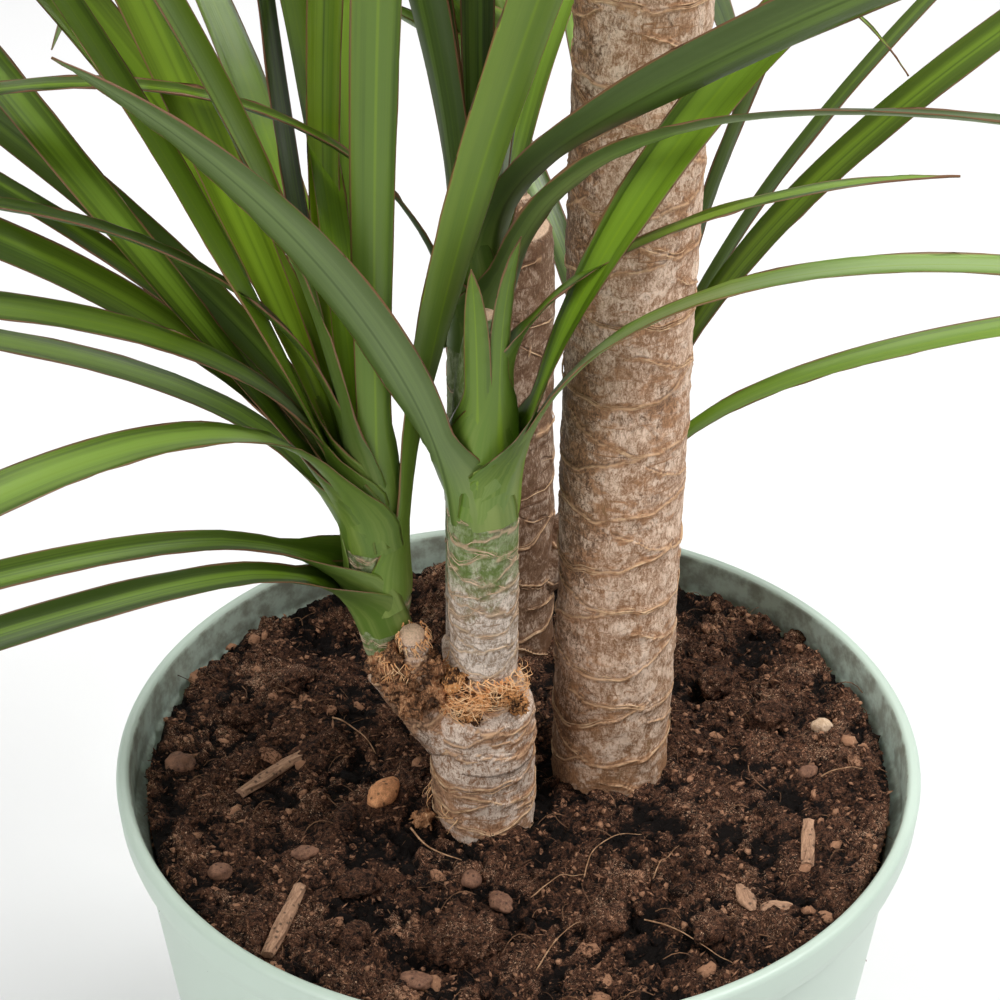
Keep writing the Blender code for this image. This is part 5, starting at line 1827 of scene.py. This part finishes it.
def make_forks(finishes, trees):
    """The sawn side stub, the flaky knob beside it and the fibrous collar under the front shoot."""
    foot, axis, length, radius = SAWN_END
    levels = list(np.linspace(0.0, length * MM, SAWN_RINGS))
    radii = [radius * MM * (1.0 + 0.05 * math.sin(level * 2000.0)) for level in levels]
    radii[-1] = radii[-1] * 0.92
    scars = scars_up(SAWN_SEED, 0.001, length * MM, 0.002, 0.003)
    end = bark_tube("sawn_end", foot * MM, axis, levels, radii, SAWN_SIDES, scars, STEM_DEPTH,
                    [1.0] * len(levels), finishes["short"], SAWN_SEED)
    show("sawn_end", end, ())
    strand_rng = random.Random("fray")
    paths = []
    for fray in FRAYS:
        place, lean, ring, count, *looks = fray
        paths += frayed(strand_rng, count, Vector(place) * MM, Vector(lean), ring, *looks)
    mesh = strands("frayed_fibres", paths, trees["strands"], finishes["fray"], 4, 1.1 * MM, 1.8 * MM)
    show("frayed_fibres", mesh, ())
    for name, lumps in RAGGED_LUMPS.items():
        mesh = ragged(name, lumps, len(name), finishes[name])
        flakes = grown(name + "_flakes", mesh, trees["crumbs"], Finish=finishes[name], **RAGGED_FLAKES)
        show(name + "_flakes", flakes, ())
        show(name + "_body", mesh, ())


def smooth_path(corners, steps):
    """A smooth path through given points."""
    path = []
    count = len(corners)
    for index in range(count - 1):
        before = corners[max(0, index - 1)]
        start = corners[index]
        end = corners[index + 1]
        after = corners[min(count - 1, index + 2)]
        for step in range(steps):
            share = step / steps
            bend = (start * 2.0 + (end - before) * share
                    + (before * 2.0 - start * 5.0 + end * 4.0 - after) * share ** 2
                    + (start * 3.0 - before - end * 3.0 + after) * share ** 3) * 0.5
            path.append(bend)
    path.append(corners[-1].copy())
    return path


def make_loose_pieces(finishes):
    """Finer bark, pebbles and bead in the beds that the source gives them."""
    for name, size in {**BARK_PIECES, **STONE_PIECES}.items():
        _, _, length, width, _, heading = size
        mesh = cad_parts[name].data.copy()
        cleaned(mesh, 1e-6, outwards=False)
        carrier = linked(name + "_fine", mesh)
        stick = length > STICK_RATIO * width
        step = carrier.modifiers.new("smooth", "SUBSURF")
        step.subdivision_type = "SIMPLE" if stick else "CATMULL_CLARK"
        step.levels = PIECE_LEVELS
        step.render_levels = PIECE_LEVELS
        graph = bpy.context.evaluated_depsgraph_get()
        fine = bpy.data.meshes.new_from_object(carrier.evaluated_get(graph))
        bpy.data.objects.remove(carrier, do_unlink=True)
        centre = sum((vert.co for vert in fine.vertices), Vector()) / len(fine.vertices)
        angle = math.radians(heading)
        along = Vector((math.cos(angle), math.sin(angle), 0.0))
        beside = Vector((-math.sin(angle), math.cos(angle), 0.0))
        grain = []
        for vert in fine.vertices:
            local = vert.co - centre
            grain.append((local.dot(along) / MM, local.dot(beside) / MM, local.z / MM))
        stretch = Vector((0.35, 1.0, 1.0)) if stick else Vector((1.0, 1.0, 1.0))
        rough = noise_at([Vector(spot) * stretch for spot in grain], 1.1, length)
        broad = noise_at(grain, 3.5, width)
        for vert, small, large in zip(fine.vertices, rough, broad):
            rise = small * PIECE_RELIEF[0] + large * PIECE_RELIEF[1]
            vert.co += (vert.co - centre).normalized() * rise * MM
        fine.shade_smooth()
        store_values(fine, {"grain": grain})
        fine.materials.clear()
        fine.materials.append(finishes[PIECE_LOOKS[name]])
        show(name + "_fine", fine, (name,))


def make_stage(finish):
    """The floor, the soft lights and the camera."""
    size = FLOOR_SIZE
    mesh = bpy.data.meshes.new("floor")
    mesh.from_pydata([(-size, -size, 0.0), (size, -size, 0.0), (size, size, 0.0), (-size, size, 0.0)], [],
                     [(0, 1, 2, 3)])
    mesh.materials.append(finish)
    linked("floor", mesh)
    world = bpy.data.worlds.new("studio")
    world.use_nodes = True
    world.node_tree.nodes["Background"].inputs["Color"].default_value = (*WORLD_COLOUR, 1.0)
    world.node_tree.nodes["Background"].inputs["Strength"].default_value = WORLD_STRENGTH
    bpy.context.scene.world = world
    bpy.context.scene.view_settings.view_transform = "Standard"
    for name, place, aim, size, power in LIGHTS:
        data = bpy.data.lights.new(name, "AREA")
        data.shape = "DISK"
        data.size = size
        data.energy = power
        light = linked(name, data)
        light.location = place
        light.rotation_euler = (Vector(aim) - Vector(place)).to_track_quat("-Z", "Y").to_euler()
    lens = bpy.data.cameras.new("camera")
    lens.lens = CAMERA_LENS
    lens.sensor_width = CAMERA_SENSOR
    lens.clip_start = 0.01
    camera = linked("camera", lens)
    camera.location = CAMERA_PLACE
    camera.rotation_euler = (math.radians(CAMERA_TILT), 0.0, 0.0)
    bpy.context.scene.camera = camera


def build():
    """Makes every piece around the frame."""
    noise.seed_set(NOISE_SEED)
    finishes = {
        "leaf": leaf_finish(),
        "cane": bark_finish("cane_bark_scarred", BARK_GREY, BARK_BROWN, stained_and_shaded=STAINED_AND_SHADED_SIDE),
        "short": bark_finish("cane_bark_pale", SHORT_GREY, SHORT_BROWN, stained_and_shaded=STAINED_STUB),
        "middle": bark_finish("cane_bark_brown", MIDDLE_GREY, MIDDLE_BROWN),
        "stem": bark_finish("stem_skin", STEM_GREY, STEM_TAN, STEM_SCAR, STEM_CREVICE),
        "soil": soil_finish(),
    }
    for table, make in ((FIBRE_FINISHES, fibre_finish), (SHAGGY_FINISHES, shaggy_finish),
                        (PIECE_FINISHES, piece_finish)):
        for key, row in table.items():
            finishes[key] = make(*row)
    trees = {"blades": blade_tree(), "strands": strand_tree(), "crumbs": crumb_tree(), "fibres": fibre_tree()}
    make_pot(pot_finish())
    make_soil(finishes, trees)
    make_loose_pieces(finishes)

    tall_top = TALL_FOOT + TALL_LEAN.normalized() * TALL_HEIGHT
    middle_top = MIDDLE_FOOT + MIDDLE_LEAN.normalized() * MIDDLE_HEIGHT
    stubs = {
        "shoot_front": FRONT_STUB,
        "shoot_back": BACK_STUB,
        "shoot_left": LEFT_STUB,
        "shoot_right": RIGHT_STUB,
        "shoot_middle": moved_stub(MIDDLE_STUB, middle_top),
        "shoot_tall_left": moved_stub(TALL_LEFT_STUB, tall_top),
        "shoot_tall_right": moved_stub(TALL_RIGHT_STUB, tall_top),
    }
    make_cane("cane_tall", TALL_FOOT, TALL_LEAN, TALL_RADIUS, TALL_HEIGHT, TALL_SEED, TALL_PITCH,
              TALL_RISE, (stubs["shoot_tall_left"], stubs["shoot_tall_right"]),
              (finishes["cane"], finishes["fibre"]), trees["strands"], TALL_SEEN)
    make_cane("cane_middle", MIDDLE_FOOT, MIDDLE_LEAN, MIDDLE_RADIUS, MIDDLE_HEIGHT, MIDDLE_SEED, TALL_PITCH,
              TALL_RISE, (stubs["shoot_middle"], RIGHT_STUB), (finishes["middle"], finishes["fibre"]),
              trees["strands"], MIDDLE_SEEN)
    make_cane("cane_short", SHORT_FOOT, SHORT_LEAN, SHORT_RADIUS, SHORT_HEIGHT, SHORT_SEED, SHORT_PITCH,
              SHORT_RISE, (FRONT_STUB, BACK_STUB, LEFT_STUB, CUT_STUB),
              (finishes["short"], finishes["fibre"]), trees["strands"], SHORT_HEIGHT)
    make_forks(finishes, trees)
    make_shoots(stubs, finishes, trees)
    make_stage(floor_finish())


build()
